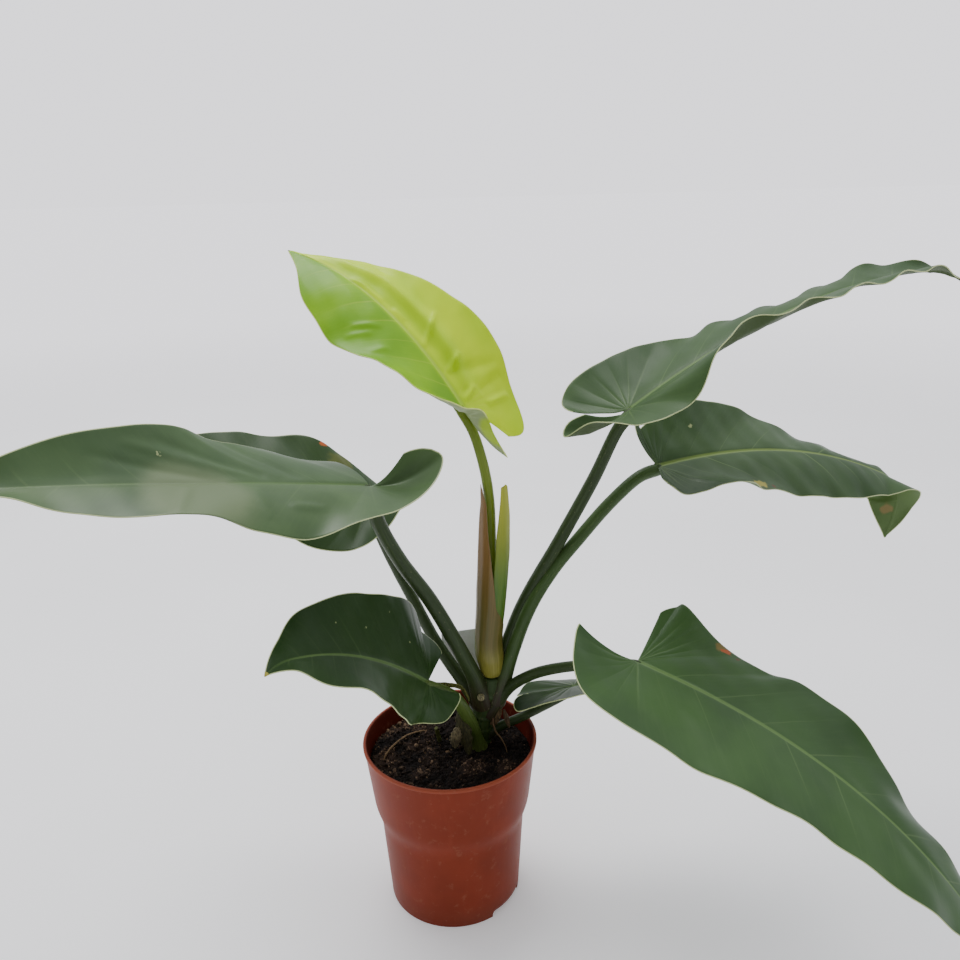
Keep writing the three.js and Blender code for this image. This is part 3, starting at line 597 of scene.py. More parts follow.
def make_blade(name, leaf, look):
    middle, relief, faces, places, values = sheet_of(leaf, look)
    middle = middle + normals_of(middle, faces) * relief[:, None]
    normal = normals_of(middle, faces)
    ahead = np.clip(np.linalg.norm(middle - np.array(leaf["base"]), axis=1) / leaf["length"], 0, 1)
    taper = (1 - ahead) ** RIB_TAPER
    half_width = RIB_HALF_WIDTH * taper + RIB_AT_TIP
    rib = RIB_HEIGHT * taper * np.sqrt(np.clip(1 - (values["rib"] / half_width) ** 2, 0, 1))
    side_rib = SIDE_RIB_HEIGHT * np.exp(-(values["vein"] / SIDE_RIB_WIDTH) ** 2)
    side_rib = side_rib * smooth_step(1, 0.2, np.abs(values["reach"]))
    half = BLADE_THICKNESS / 2
    upper = middle + normal * half
    lower = middle - normal * (half + rib + side_rib)[:, None]
    count = len(middle)
    sides = {(face[i - 1], face[i]) for face in faces for i in range(len(face))}
    rim = [(a, b) for a, b in sides if (b, a) not in sides]
    rim.sort()
    outward = np.zeros_like(middle)
    for a, b in rim:
        out = np.cross(middle[b] - middle[a], normal[a])
        outward[a] += out
        outward[b] += out
    ring = sorted({i for pair in rim for i in pair})
    on_ring = {point: 2 * count + k for k, point in enumerate(ring)}
    outward = outward[ring] / np.maximum(np.linalg.norm(outward[ring], axis=1), 1e-9)[:, None]
    points = np.vstack([upper, lower, middle[ring] + outward * half])
    all_faces = faces + [[i + count for i in reversed(face)] for face in faces]
    all_places = places + [place[::-1] for place in places]
    for a, b in rim:
        all_faces += [[b, a, on_ring[a], on_ring[b]], [on_ring[b], on_ring[a], a + count, b + count]]
        all_places += [[(0, 0)] * 4] * 2
    piece = make_object(name, points, all_faces)
    for key in ("vein", "rib", "edge", "reach"):
        set_attribute(piece, key, np.concatenate([values[key], values[key], values[key][ring]]))
    set_attribute(piece, "under", np.concatenate([np.zeros(count), np.ones(count),
                                                  np.full(len(ring), 0.3)]))
    layer = piece.data.uv_layers.new(name="leaf")
    layer.data.foreach_set("uv", np.array([uv for place in all_places for uv in place]).ravel())
    return piece


print("thickness of a blade:", BLADE_THICKNESS, "mm")

# %% [markdown]
# Each blade is made from its row of measures and its own look: how strongly it is pleated between
# the veins, how lumpy it is, and how many of its side veins stay faint.

# %% The eight blades
NEWEST_CREASES = [              # side, places, height, width
    (-1, [(0.95, 0.8), (0.839, 0.61), (0.728, 0.61), (0.578, 0.42), (0.478, 0.33), (0.42, 0.2)], 3.0, 4.5),
    (-1, [(0.583, 0.67), (0.578, 0.07)], 1.6, 1.8), (-1, [(0.483, 0.48), (0.489, 0.12)], 1.7, 1.8),
    (-1, [(0.394, 0.36), (0.406, 0.09)], 1.4, 1.8), (-1, [(0.2, 0.88), (0.167, 0.42)], 1.4, 2.2),
    (-1, [(0.478, 0.18), (0.344, 0.91)], -1.4, 4), (-1, [(0.3, 0.39), (0.3, 0.88)], -1.4, 4),
    (-1, [(0.82, 0.1), (0.78, 0.14), (0.72, 0.12)], 1.0, 1.8), (-1, [(0.69, 0.15), (0.65, 0.12)], 0.9, 1.8),
    (1, [(0.667, 0.7), (0.65, 0.33)], 0.9, 2.0), (1, [(0.644, 0.85), (0.633, 0.51)], 0.6, 2.0),
    (1, [(0.561, 0.85), (0.572, 0.51)], 0.8, 2.4),
]
UPPER_LEFT_CREASES = [
    (-1, [(0.739, 0.82), (0.594, 0.15)], 1.0, 3), (-1, [(0.694, 0.85), (0.583, 0.15)], -0.9, 3),
    (-1, [(0.617, 0.97), (0.556, 0.12)], 0.9, 3), (-1, [(0.8, 0.7), (0.656, 0.03)], -0.8, 3),
    (-1, [(0.544, 1.0), (0.522, 0.12)], -0.7, 3), (1, [(0.706, 0.09), (0.678, 0.97)], 0.8, 2.5),
    (1, [(0.606, 0.15), (0.544, 0.82)], 0.7, 3), (1, [(0.528, 0.54), (0.461, 0.58)], 0.9, 3),
]
LOOKS = {
    "newest": dict(seed=1, pleat=0.1, lumps=0.55, lump_size=34, faint_veins=0.5, creases=NEWEST_CREASES),
    "upper_left": dict(seed=2, pleat=0.05, lumps=0.35, lump_size=60, faint_veins=0.9,
                       creases=UPPER_LEFT_CREASES),
    "rear_left": dict(seed=3, pleat=0.2, lumps=0.6, lump_size=50, faint_veins=1.0),
    "lower_left": dict(seed=4, pleat=0.2, lumps=0.5, lump_size=42, faint_veins=1.0),
    "upper_right": dict(seed=5, ripple=2.0, pleat=0.3, lumps=0.7, lump_size=46, faint_veins=0.6),
    "middle_right": dict(seed=6, ripple=1.0, pleat=0.25, lumps=0.9, lump_size=44, faint_veins=0.9),
    "lower_right": dict(seed=7, ripple=1.0, pleat=0.3, lumps=0.7, lump_size=52, faint_veins=0.8),
    "rear_right": dict(seed=8, pleat=0.4, lumps=0.5, lump_size=50, faint_veins=1.0),
}
blades = {name: make_blade(f"leaf_blade_{name}", leaf, LOOKS[name]) for name, leaf in LEAVES.items()}
print("blades made:", len(blades))

# %% [markdown]
# ## The finish of a leaf
#
# A grown blade is dark green with a dull wax sheen. Its midrib and side veins are paler, a thin pale
# line runs along the margin, and the underside is greyer. Such a pattern could be painted on an
# image, but the grid already knows where the veins and the margin are, at any distance. So all
# blades share one node group that turns the attributes of the grid into a colour, a roughness and a
# height, and each blade's own material gives it its greens and adds the marks that it carries.

# %% The shared leaf pattern
def group_with(name, inputs, outputs):
    """A shader node group with its named sockets. inputs are (name, kind, default)."""
    tree = bpy.data.node_groups.new(name, "ShaderNodeTree")
    for label, kind, default in inputs:
        made = tree.interface.new_socket(label, in_out="INPUT", socket_type="NodeSocket" + kind)
        made.default_value = default
    for label, kind in outputs:
        tree.interface.new_socket(label, in_out="OUTPUT", socket_type="NodeSocket" + kind)
    return tree, node(tree, "NodeGroupInput").outputs, node(tree, "NodeGroupOutput").inputs


def leaf_pattern():
    tree, given, result = group_with(
        "leaf_pattern",
        [("Left", "Color", colour(60, 90, 50)), ("Right", "Color", colour(60, 90, 50)),
         ("Shade", "Color", colour(40, 70, 40)), ("Vein", "Color", colour(110, 135, 80)),
         ("Rib", "Color", colour(120, 150, 80)), ("Margin", "Color", colour(190, 200, 150)),
         ("Under", "Color", colour(90, 110, 75)), ("Vein Strength", "Float", 0.5),
         ("Rib Strength", "Float", 0.7), ("Mottling", "Float", 0.5)],
        [("Color", "Color"), ("Roughness", "Float"), ("Height", "Float")])
    place = object_place(tree)
    reach = attribute(tree, "reach")
    out = maths(tree, "ABSOLUTE", reach)
    row, column, _ = split(tree, node(tree, "ShaderNodeUVMap", uv_map="leaf").outputs[0])
    on_leaf = joined(tree, X=times(tree, row, 150.0), Y=times(tree, column, 5.0))
    streaks = noise(tree, on_leaf, 1.0, 4.0, 0.6)
    clouds = noise(tree, place, 22.0, 3.0)
    grain = noise(tree, place, 420.0, 2.0, 0.6)
    base = blend(tree, step(tree, reach, -0.12, 0.12), given["Right"], given["Left"])
    cloudy = times(tree, step(tree, clouds, 0.35, 0.7), given["Mottling"])
    base = blend(tree, cloudy, base, given["Shade"])
    base = blend(tree, step(tree, streaks, 0.45, 0.75, 0.0, 0.04), base, given["Vein"])
    fading = step(tree, out, 0.1, 0.95, 1.0, 0.0)
    vein = times(tree, step(tree, attribute(tree, "vein"), 0.25, 1.25, 1.0, 0.0), fading)
    vein = times(tree, vein, given["Vein Strength"])
    base = blend(tree, vein, base, given["Vein"])
    rib_width = step(tree, row, 0.4, 1.0, 2.0, 0.7)
    rib_at = maths(tree, "DIVIDE", attribute(tree, "rib"), rib_width)
    rib = times(tree, step(tree, rib_at, 0.45, 1.1, 1.0, 0.0), given["Rib Strength"])
    rib = times(tree, rib, step(tree, row, 0.85, 1.0, 1.0, 0.2))
    base = blend(tree, rib, base, given["Rib"])
    under = attribute(tree, "under")
    back = blend(tree, times(tree, vein, 0.7), given["Under"], given["Vein"])
    back = blend(tree, times(tree, cloudy, 0.4), back, given["Shade"])
    base = blend(tree, step(tree, under, 0.35, 0.65), base, back)
    margin = step(tree, attribute(tree, "edge"), 0.1, 0.42, 0.9, 0.0)
    margin = times(tree, margin, step(tree, clouds, 0.25, 0.5, 0.55, 1.0))
    tree.links.new(blend(tree, margin, base, given["Margin"]), result["Color"])
    rough = plus(tree, times(tree, clouds, 0.12), 0.32)
    tree.links.new(plus(tree, rough, times(tree, under, 0.16)), result["Roughness"])
    height = plus(tree, times(tree, streaks, 0.15), times(tree, grain, 0.12))
    tree.links.new(height, result["Height"])
    return tree


LEAF_PATTERN = leaf_pattern()
print("nodes in the leaf pattern:", len(LEAF_PATTERN.nodes))

# %% [markdown]
# Some leaves carry marks: a torn spot with a brown rim, small pale specks, a broad patch of painted sheen.
# They are few, so they aren't scattered by a rule. Each one is given at shares of the rows
# and columns of its leaf, and one node group draws them all, with its own size, tint and fraying.

# %% A group for marks
def leaf_place(leaf, side_name, row_share, column_share):
    """A point on a blade's smooth shape, in metres, at shares of its rows and columns."""
    sign = 1 if side_name == "left" else -1
    point, _, _ = half_blade(leaf, leaf[side_name], sign)
    column = int(np.abs(COLUMNS - column_share).argmin())
    return point[int(round(row_share * ROWS)), column] * MM


def ragged_mark():
    """A group that lays a frayed patch of a tint over a colour, round a place on the leaf."""
    tree, given, result = group_with(
        "ragged_mark",
        [("Base", "Color", colour(60, 90, 50)), ("Tint", "Color", colour(150, 160, 110)),
         ("Place", "Vector", (0.0, 0.0, 0.0)), ("Radius", "Float", 0.002), ("Raggedness", "Float", 0.8)],
        [("Color", "Color")])
    here, radius = object_place(tree), given["Radius"]
    fineness = maths(tree, "DIVIDE", 0.9, radius)
    frayed = node(tree, "ShaderNodeTexNoise", {"Vector": here, "Scale": fineness, "Detail": 4.0})
    shift = vector(tree, "SUBTRACT", frayed.outputs["Color"], (0.5, 0.5, 0.5))
    reach = times(tree, times(tree, radius, 2.0), given["Raggedness"])
    moved = vector(tree, "ADD", here, vector(tree, "SCALE", shift, scale=reach))
    away = vector(tree, "DISTANCE", moved, given["Place"])
    share = step(tree, away, times(tree, radius, 0.6), radius, 1.0, 0.0)
    tree.links.new(blend(tree, share, given["Base"], given["Tint"]), result["Color"])
    return tree


RAGGED_MARK = ragged_mark()
print("nodes in the mark group:", len(RAGGED_MARK.nodes))

# %% Colours and marks of each leaf
# A leaf has the values of GREENS, apart from those that its own row gives.
GREENS = dict(Left=colour(64, 88, 50), Right=colour(64, 88, 50), Shade=colour(44, 66, 38),
              Vein=colour(112, 136, 84), Rib=colour(112, 142, 76), Margin=colour(196, 206, 150),
              Under=colour(92, 106, 70), Vein_Strength=0.45, Rib_Strength=0.7, Mottling=0.5)
LEAF_COLOURS = {
    # The newest leaf's Right colour, far brighter and yellower than its Left, is partly that young half's
    # own yellow-green and partly painted light, standing in for daylight shining through it.
    "newest": dict(Left=colour(112, 164, 22), Right=colour(208, 238, 14), Shade=colour(158, 208, 6),
                   Vein=colour(214, 228, 80), Rib=colour(186, 216, 80), Margin=colour(226, 236, 140),
                   Under=colour(146, 160, 116), Vein_Strength=0.2, Rib_Strength=0.6, Mottling=0.4),
    "upper_left": dict(Left=colour(74, 99, 55), Right=colour(70, 95, 55), Rib_Strength=0.2,
                       Vein_Strength=0.15),
    "rear_left": dict(Left=colour(46, 68, 32), Right=colour(46, 68, 32), Rib_Strength=0.3,
                      Vein_Strength=0.2),
    "lower_left": dict(Left=colour(42, 68, 28), Right=colour(36, 62, 22), Shade=colour(30, 54, 20),
                       Rib_Strength=0.45, Vein_Strength=0.12),
    "upper_right": dict(Vein_Strength=0.25, Rib_Strength=0.5, Under=colour(60, 76, 40)),
    "middle_right": dict(Rib_Strength=0.8, Rib=colour(120, 142, 70), Under=colour(84, 108, 56)),
    "lower_right": dict(Left=colour(58, 88, 42), Right=colour(60, 90, 44), Rib_Strength=0.6,
                        Rib=colour(104, 134, 72), Vein_Strength=0.25),
    "rear_right": dict(Left=colour(38, 56, 26), Right=colour(40, 58, 28), Rib_Strength=0.3),
}
GLOSS = {"newest": 0.17, "upper_left": 0.32, "rear_left": 0.16, "lower_left": 0.16, "rear_right": 0.08,
         "upper_right": 0.14}
BROWN, ORANGE, STRAW = colour(96, 66, 34), colour(176, 88, 40), colour(170, 160, 70)
PALE = colour(150, 160, 110)
MARKS = {               # side, row share, column share, radius, tint, raggedness
    # upper_left's first mark, broad and pale, is painted sheen: a painted highlight where that leaf mirrors
    # the bright surroundings.
    "upper_left": [("left", 0.67, 0.5, 0.036, colour(98, 114, 78), 0.3),
                   ("right", 0.7, 0.58, 0.0016, PALE, 1.6)],
    "rear_left": [("right", 0.40, 0.75, 0.013, colour(82, 90, 38), 0.8),
                  ("right", 0.428, 0.98, 0.0034, ORANGE, 0.9)],
    "lower_left": [("right", 0.997, 1.0, 0.0025, STRAW, 0.3), ("right", 0.62, 0.5, 0.0008, PALE, 1.5),
                   ("right", 0.72, 0.62, 0.0006, PALE, 1.2), ("right", 0.5, 0.8, 0.0008, PALE, 1.8),
                   ("right", 0.44, 0.45, 0.0007, PALE, 1.2)],
    "middle_right": [("right", 0.48, 0.85, 0.0048, STRAW, 1.0), ("right", 0.5, 0.92, 0.0022, BROWN, 0.9),
                     ("left", 0.439, 0.57, 0.0022, PALE, 0.8),
                     ("left", 0.944, 0.4, 0.006, colour(126, 112, 66), 0.9)],
    "lower_right": [("left", 0.34, 0.93, 0.0045, colour(120, 104, 50), 1.0),
                    ("left", 0.372, 0.94, 0.0034, ORANGE, 1.0), ("left", 0.411, 0.95, 0.002, BROWN, 0.8)],
    "rear_right": [("right", 0.40, 0.5, 0.003, colour(120, 100, 60), 0.9)],
    "newest": [("left", 0.06, 1.0, 0.013, colour(166, 196, 50), 0.2),
               ("right", 1.0, 1.0, 0.0016, colour(60, 54, 40), 0.2)],
}
print("marks:", sum(len(marks) for marks in MARKS.values()))

# %% The leaf materials
def crease_shade_band(tree, base):
    """Painted shade: a darker, stronger green in the long hollow beside the newest leaf's midrib, on its
    upper face.
    """
    row = split(tree, node(tree, "ShaderNodeUVMap", uv_map="leaf").outputs[0])[0]
    wander = about_zero(tree, noise(tree, object_place(tree), 40.0, 3.0), 0.25)
    reach = plus(tree, attribute(tree, "reach"), wander)
    band = times(tree, step(tree, reach, -0.62, -0.34), step(tree, reach, -0.22, -0.06, 1.0, 0.0))
    band = times(tree, band, step(tree, row, 0.38, 0.5))
    band = times(tree, band, step(tree, row, 0.8, 0.95, 1.0, 0.0))
    band = times(tree, band, step(tree, attribute(tree, "under"), 0.1, 0.2, 0.9, 0.0))
    return blend(tree, band, base, colour(172, 210, 2))


def leaf_material(name):
    made, tree, shader = material(f"leaf_{name}", Specular_IOR_Level=GLOSS.get(name, 0.28))
    values = {**GREENS, **LEAF_COLOURS[name]}
    pattern = node(tree, "ShaderNodeGroup", node_tree=LEAF_PATTERN)
    set_values(pattern, values)
    base = pattern.outputs["Color"]
    if name == "newest":
        # The newest leaf gets a band of painted shade along the hollow by its midrib.
        base = crease_shade_band(tree, base)
    for side, row, column, radius, tint, ragged in MARKS.get(name, ()):
        place = tuple(leaf_place(LEAVES[name], side, row, column))
        base = node(tree, "ShaderNodeGroup", {"Base": base, "Tint": tint, "Place": place, "Radius": radius,
                                              "Raggedness": ragged}, node_tree=RAGGED_MARK).outputs[0]
    tree.links.new(base, shader.inputs["Base Color"])
    tree.links.new(pattern.outputs["Roughness"], shader.inputs["Roughness"])
    set_bump(tree, shader, pattern.outputs["Height"], 0.35, 0.0005)
    return made


for name, piece in blades.items():
    finish_piece(piece, [f"blade_{name}"], leaf_material(name))

# %% [markdown]
# ## Stalks, stem and roots
#
# A stalk is a rod that follows a smooth path and changes its thickness on the way. A curve's own
# bevel could make it, but then nothing would tell the finish where on the rod it is. So Geometry
# Nodes make it: the path is a curve with a radius at each point, a circle is swept along it, and
# the result gets a little unevenness. The circle's own place and the share of the path are kept as
# attributes, so that fibres and flecks can run along the stalk.

# %% The tree that sweeps a stalk
def tree_of_nodes(name, inputs):
    """A Geometry Nodes tree with a geometry input and output and the named inputs."""
    tree = bpy.data.node_groups.new(name, "GeometryNodeTree")
    tree.interface.new_socket("Geometry", in_out="INPUT", socket_type="NodeSocketGeometry")
    tree.interface.new_socket("Geometry", in_out="OUTPUT", socket_type="NodeSocketGeometry")
    for label, kind, default in inputs:
        made = tree.interface.new_socket(label, in_out="INPUT", socket_type="NodeSocket" + kind)
        if default is not None:
            made.default_value = default
    return tree, node(tree, "NodeGroupInput").outputs, node(tree, "NodeGroupOutput").inputs


def stalk_tree():
    tree, given, result = tree_of_nodes("stalk_along_a_route", [
        ("Sides", "Int", 20), ("Unevenness", "Float", 0.0002), ("Lump Size", "Float", 0.008),
        ("Material", "Material", None)])
    route = node(tree, "GeometryNodeStoreNamedAttribute",
                 {"Geometry": given["Geometry"], "Name": "along",
                  "Value": node(tree, "GeometryNodeSplineParameter").outputs["Factor"]})
    circle = node(tree, "GeometryNodeCurvePrimitiveCircle", {"Resolution": given["Sides"], "Radius": 1.0})
    ring = node(tree, "GeometryNodeStoreNamedAttribute", data_type="FLOAT_VECTOR")
    ring.inputs["Name"].default_value = "around"
    tree.links.new(circle.outputs[0], ring.inputs["Geometry"])
    tree.links.new(node(tree, "GeometryNodeInputPosition").outputs[0], ring.inputs["Value"])
    swept = node(tree, "GeometryNodeCurveToMesh",
                 {"Curve": route.outputs[0], "Profile Curve": ring.outputs[0],
                  "Scale": node(tree, "GeometryNodeInputRadius").outputs[0], "Fill Caps": True})
    fineness = maths(tree, "DIVIDE", 1.0, given["Lump Size"])
    bumps = node(tree, "ShaderNodeTexNoise", {"Detail": 2.0, "Scale": fineness})
    amount = about_zero(tree, bumps.outputs[0], given["Unevenness"])
    offset = vector(tree, "SCALE", node(tree, "GeometryNodeInputNormal").outputs[0], scale=amount)
    moved = node(tree, "GeometryNodeSetPosition", {"Geometry": swept.outputs[0], "Offset": offset})
    smooth = node(tree, "GeometryNodeSetShadeSmooth", {"Geometry": moved.outputs[0]})
    real = node(tree, "GeometryNodeRealizeInstances", {"Geometry": smooth.outputs[0]})
    painted = node(tree, "GeometryNodeSetMaterial", {"Geometry": real.outputs[0],
                                                     "Material": given["Material"]})
    tree.links.new(painted.outputs[0], result["Geometry"])
    return tree


STALK_TREE = stalk_tree()


def with_nodes(piece, tree, values):
    """Puts a tree on a piece as a modifier and sets its inputs by their identifiers."""
    modifier = piece.modifiers.new("nodes", "NODES")
    modifier.node_group = tree
    for socket in tree.interface.items_tree:
        if socket.in_out == "INPUT" and socket.name in values:
            modifier[socket.identifier] = values[socket.name]
    return piece


print("nodes in the stalk tree:", len(STALK_TREE.nodes))

# %% Routes
SAMPLES_PER_SPAN = 24


def rounded_route(points, count):
    """Even points on a centripetal Catmull-Rom curve, which keeps close to its control points."""
    points = np.asarray(points, float)
    ends = np.vstack([2 * points[0] - points[1], points, 2 * points[-1] - points[-2]])
    gaps = np.linalg.norm(np.diff(ends, axis=0), axis=1) ** 0.5
    knots = np.concatenate([[0], np.cumsum(gaps)])
    found = []
    for i in range(1, len(ends) - 2):
        t = np.linspace(knots[i], knots[i + 1], SAMPLES_PER_SPAN, endpoint=False)[:, None]
        p = [ends[i + k] for k in (-1, 0, 1, 2)]
        k = [knots[i + j] for j in (-1, 0, 1, 2)]
        a = [(k[j + 1] - t) / (k[j + 1] - k[j]) * p[j] + (t - k[j]) / (k[j + 1] - k[j]) * p[j + 1]
             for j in range(3)]
        b = [(k[j + 2] - t) / (k[j + 2] - k[j]) * a[j] + (t - k[j]) / (k[j + 2] - k[j]) * a[j + 1]
             for j in range(2)]
        found.append((k[2] - t) / (k[2] - k[1]) * b[0] + (t - k[1]) / (k[2] - k[1]) * b[1])
    path = np.vstack([*found, points[-1:]])
    length = np.concatenate([[0], np.cumsum(np.linalg.norm(np.diff(path, axis=0), axis=1))])
    even = np.linspace(0, length[-1], count)
    return np.column_stack([np.interp(even, length, path[:, axis]) for axis in range(3)])


def make_stalk(name, points, radii, finish, sides=24, uneven=0.0002, lump=0.008):
    """A rod along points in millimetres with a radius at each. uneven and lump are in metres."""
    data = bpy.data.curves.new(name + "_route", "CURVE")
    data.dimensions = "3D"
    spline = data.splines.new("POLY")
    spline.points.add(len(points) - 1)
    for spot, place, radius in zip(spline.points, np.asarray(points) * MM, np.asarray(radii) * MM):
        spot.co = (*place, 1)
        spot.radius = radius
    route = bpy.data.objects.new(name + "_route", data)
    bpy.context.collection.objects.link(route)
    with_nodes(route, STALK_TREE, {"Sides": sides, "Unevenness": uneven, "Lump Size": lump,
                                   "Material": finish})
    piece = applied(route)
    bpy.data.objects.remove(route)
    piece.name = name
    return piece


print("samples between two points of a route:", SAMPLES_PER_SPAN)

# %% [markdown]
# A stalk is green and fleshy, with fine paler fibres along it, small pale flecks and a browner foot.
# The fibres are a noise that is stretched along the stalk, and the flecks are cells of which only
# some are kept. One node group makes both for the stalks, the stem and the roots.

# %% The finish of a stalk
def stalk_pattern():
    tree, given, result = group_with(
        "stalk_pattern",
        [("Colour", "Color", colour(44, 60, 28)), ("Foot", "Color", colour(50, 40, 27)),
         ("Stripe", "Color", colour(72, 90, 48)), ("Fleck", "Color", colour(134, 132, 90)),
         ("Length", "Float", 0.2), ("Foot Share", "Float", 0.17), ("Flecks", "Float", 0.4)],
        [("Color", "Color"), ("Height", "Float")])
    round_place = node(tree, "ShaderNodeAttribute", attribute_name="around").outputs["Vector"]
    ring = vector(tree, "MULTIPLY", round_place, (3.5, 3.5, 0))
    along = attribute(tree, "along")
    length = times(tree, along, given["Length"])
    fibres_at = vector(tree, "ADD", ring, joined(tree, Z=times(tree, length, 14.0)))
    fibres = noise(tree, fibres_at, 2.2, 4.0, 0.65)
    flecks_at = vector(tree, "ADD", ring, joined(tree, Z=times(tree, length, 190.0)))
    flecks = node(tree, "ShaderNodeTexVoronoi", {"Vector": flecks_at, "Scale": 1.1}).outputs["Distance"]
    chosen = step(tree, noise(tree, flecks_at, 0.6, 1.0), 0.52, 0.6)
    fleck = times(tree, step(tree, flecks, 0.1, 0.2, 1.0, 0.0), chosen)
    fleck = times(tree, fleck, given["Flecks"])
    base = blend(tree, step(tree, along, 0.0, given["Foot Share"]), given["Foot"], given["Colour"])
    base = blend(tree, step(tree, fibres, 0.45, 0.72, 0.0, 0.55), base, given["Stripe"])
    base = blend(tree, fleck, base, given["Fleck"])
    tree.links.new(base, result["Color"])
    tree.links.new(plus(tree, fibres, times(tree, fleck, 0.6)), result["Height"])
    return tree


STALK_PATTERN = stalk_pattern()


def stalk_material(name, values, roughness=0.38):
    made, tree, shader = material(name, Roughness=roughness, Specular_IOR_Level=0.24)
    pattern = node(tree, "ShaderNodeGroup", node_tree=STALK_PATTERN)
    set_values(pattern, values)
    tree.links.new(pattern.outputs["Color"], shader.inputs["Base Color"])
    set_bump(tree, shader, pattern.outputs["Height"], 0.4, 0.0006)
    return made


print("nodes in the stalk pattern:", len(STALK_PATTERN.nodes))

# %% [markdown]
# A leaf stalk clasps the stem with a thicker foot and has a slight knee just below the blade. It
# could end at the blade's base, but there the rod would stop short under the leaf. So it runs on
# below the midrib for a few centimetres and tapers into the rib.

# %% Leaf stalks
STALK_POINTS = 110
SHEATHING_BASE, KNEE = 1.35, 1.08           # how many times the plain taper's radius
KNEE_LENGTH = 7
RUN_ON, UNDER_BLADE = 27, 0.9
RUN_ON_PLACES = np.array([0.5, 4.0, 9.0, 16.0, RUN_ON])
STALK_COLOURS = {
    "newest": dict(Colour=colour(102, 122, 30), Foot=colour(84, 118, 26), Stripe=colour(130, 140, 56),
                   Fleck=colour(160, 160, 90), Flecks=0.1),
    "lower_left": dict(Colour=colour(72, 92, 36), Foot=colour(88, 102, 48), Stripe=colour(106, 120, 66)),
    "middle_right": dict(Colour=colour(58, 82, 38), Stripe=colour(84, 106, 56)),
}


def leaf_stalk(name, leaf):
    """The stalk flares where it clasps the stem, and at its top runs on into the midrib."""
    start, end = leaf["stalk"]["radii"]
    point, _, _, up = midrib_of(leaf)(RUN_ON_PLACES)
    left = (1 - RUN_ON_PLACES / RUN_ON) ** RIB_TAPER
    under = point - up * (end * left * [0.75, 1, 1, 1, 1] + UNDER_BLADE)[:, None]
    path = rounded_route([*leaf["stalk"]["route"], *under], STALK_POINTS)
    share = np.linspace(0, 1, STALK_POINTS)
    length = np.linalg.norm(np.diff(path, axis=0), axis=1).sum()
    top = 1 - RUN_ON / length
    radii = start + (end - start) * np.minimum(share / top, 1)
    radii = radii * (1 + (SHEATHING_BASE - 1) * smooth_step(0.16, 0.0, share))
    radii = radii * (1 + (KNEE - 1) * np.exp(-((share - top + 0.02) * length / KNEE_LENGTH) ** 2))
    radii = radii * np.clip((1 - share) / (1 - top), 0, 1) ** RIB_TAPER + 0.15
    finish = stalk_material(f"stalk_{name}", {"Length": length * MM, **STALK_COLOURS.get(name, {})})
    piece = make_stalk(f"leaf_stalk_{name}", path, radii, finish)
    finish_piece(piece, [f"petiole_{name}"])
    return piece


stalks = {name: leaf_stalk(name, leaf) for name, leaf in LEAVES.items()}
print("stalks made:", len(stalks))

# %% [markdown]
# The stem is short and thick, and most of it is hidden. Every old leaf left a scar that runs round it
# as a low ring. It could be turned about an axis, but it leans and bends a little, so it is swept
# like a stalk, with a radius that rises and falls along its path.

# %% The stem
STEM_ROUTE = [(17, 11, 78), (20, 11, 108), (25, 10.5, 138), (29.2, 10, 151), (30.6, 10, 162)]
STEM_RADII = (9.5, 6.3)
STEM_POINTS, STEM_SIDES = 160, 48
SCARS = [0.40, 0.52, 0.63, 0.73, 0.84]                  # shares of the stem's length
SCAR_HEIGHT, SCAR_WIDTH, WAIST_DEPTH, WAIST_WIDTH = 0.5, 0.012, 0.35, 0.05


def make_stem():
    """A tapering rod with a low ring at each scar, a waist above each ring and a rounded top."""
    share = np.linspace(0, 1, STEM_POINTS)
    radii = STEM_RADII[0] + (STEM_RADII[1] - STEM_RADII[0]) * share
    for scar in SCARS:
        ring = SCAR_HEIGHT * np.exp(-((share - scar) / SCAR_WIDTH) ** 2)
        waist = WAIST_DEPTH * smooth_step(WAIST_WIDTH, 0.0, share - scar) * (share > scar)
        radii = radii + ring - waist
    radii = radii * smooth_step(1.012, 0.985, share) ** 0.6 + 0.2
    finish = stalk_material("stem", dict(Colour=colour(46, 66, 28), Foot=colour(58, 46, 28),
                                         Stripe=colour(84, 92, 48), Fleck=colour(110, 96, 62),
                                         Length=0.09, Foot_Share=0.42, Flecks=0.7), 0.5)
    return make_stalk("stem", rounded_route(STEM_ROUTE, STEM_POINTS), radii, finish, STEM_SIDES,
                      1.1 * MM, 7 * MM)


stem = make_stem()
finish_piece(stem, ["stem"])

# %% [markdown]
# Roots are thin, uneven and a little kinked. Two of them show: a long one that lies on the peat and
# a thin one that hangs from the stem. The stub is what is left of an old stalk. All three are swept
# like the stalks, because only their route, thickness and colour differ.

# %% Roots
ROOT_POINTS, ROOT_SIDES = 60, 12
ROOTS = {                       # radius and route
    "root_long": (0.9, [(-48, -10, 105), (-44, -4, 113), (-33, 10, 115.5), (-22, 22, 112), (-12, 30, 107)]),
    "root_thin": (0.6, [(30.3, 3, 133), (30.4, 0.5, 129), (32, 0, 123), (35.3, -1, 118.6),
                        (38.5, -3, 112), (39.5, -3.5, 105)]),
    "cut_petiole": (1.8, [(-5.5, 14, 101), (-6.7, 13, 106), (-8, 11, 114), (-9.5, 8, 123.4)]),
}
ROOT_FINISH = stalk_material("root", dict(Colour=colour(112, 88, 62), Foot=colour(84, 62, 44),
                                          Stripe=colour(156, 132, 100), Fleck=colour(60, 44, 32),
                                          Length=0.09, Flecks=0.8), 0.75)
STUB_FINISH = stalk_material("stub", dict(Colour=colour(84, 88, 42), Foot=colour(66, 62, 36),
                                          Stripe=colour(110, 112, 64), Fleck=colour(84, 62, 34),
                                          Length=0.03, Flecks=0.8), 0.6)


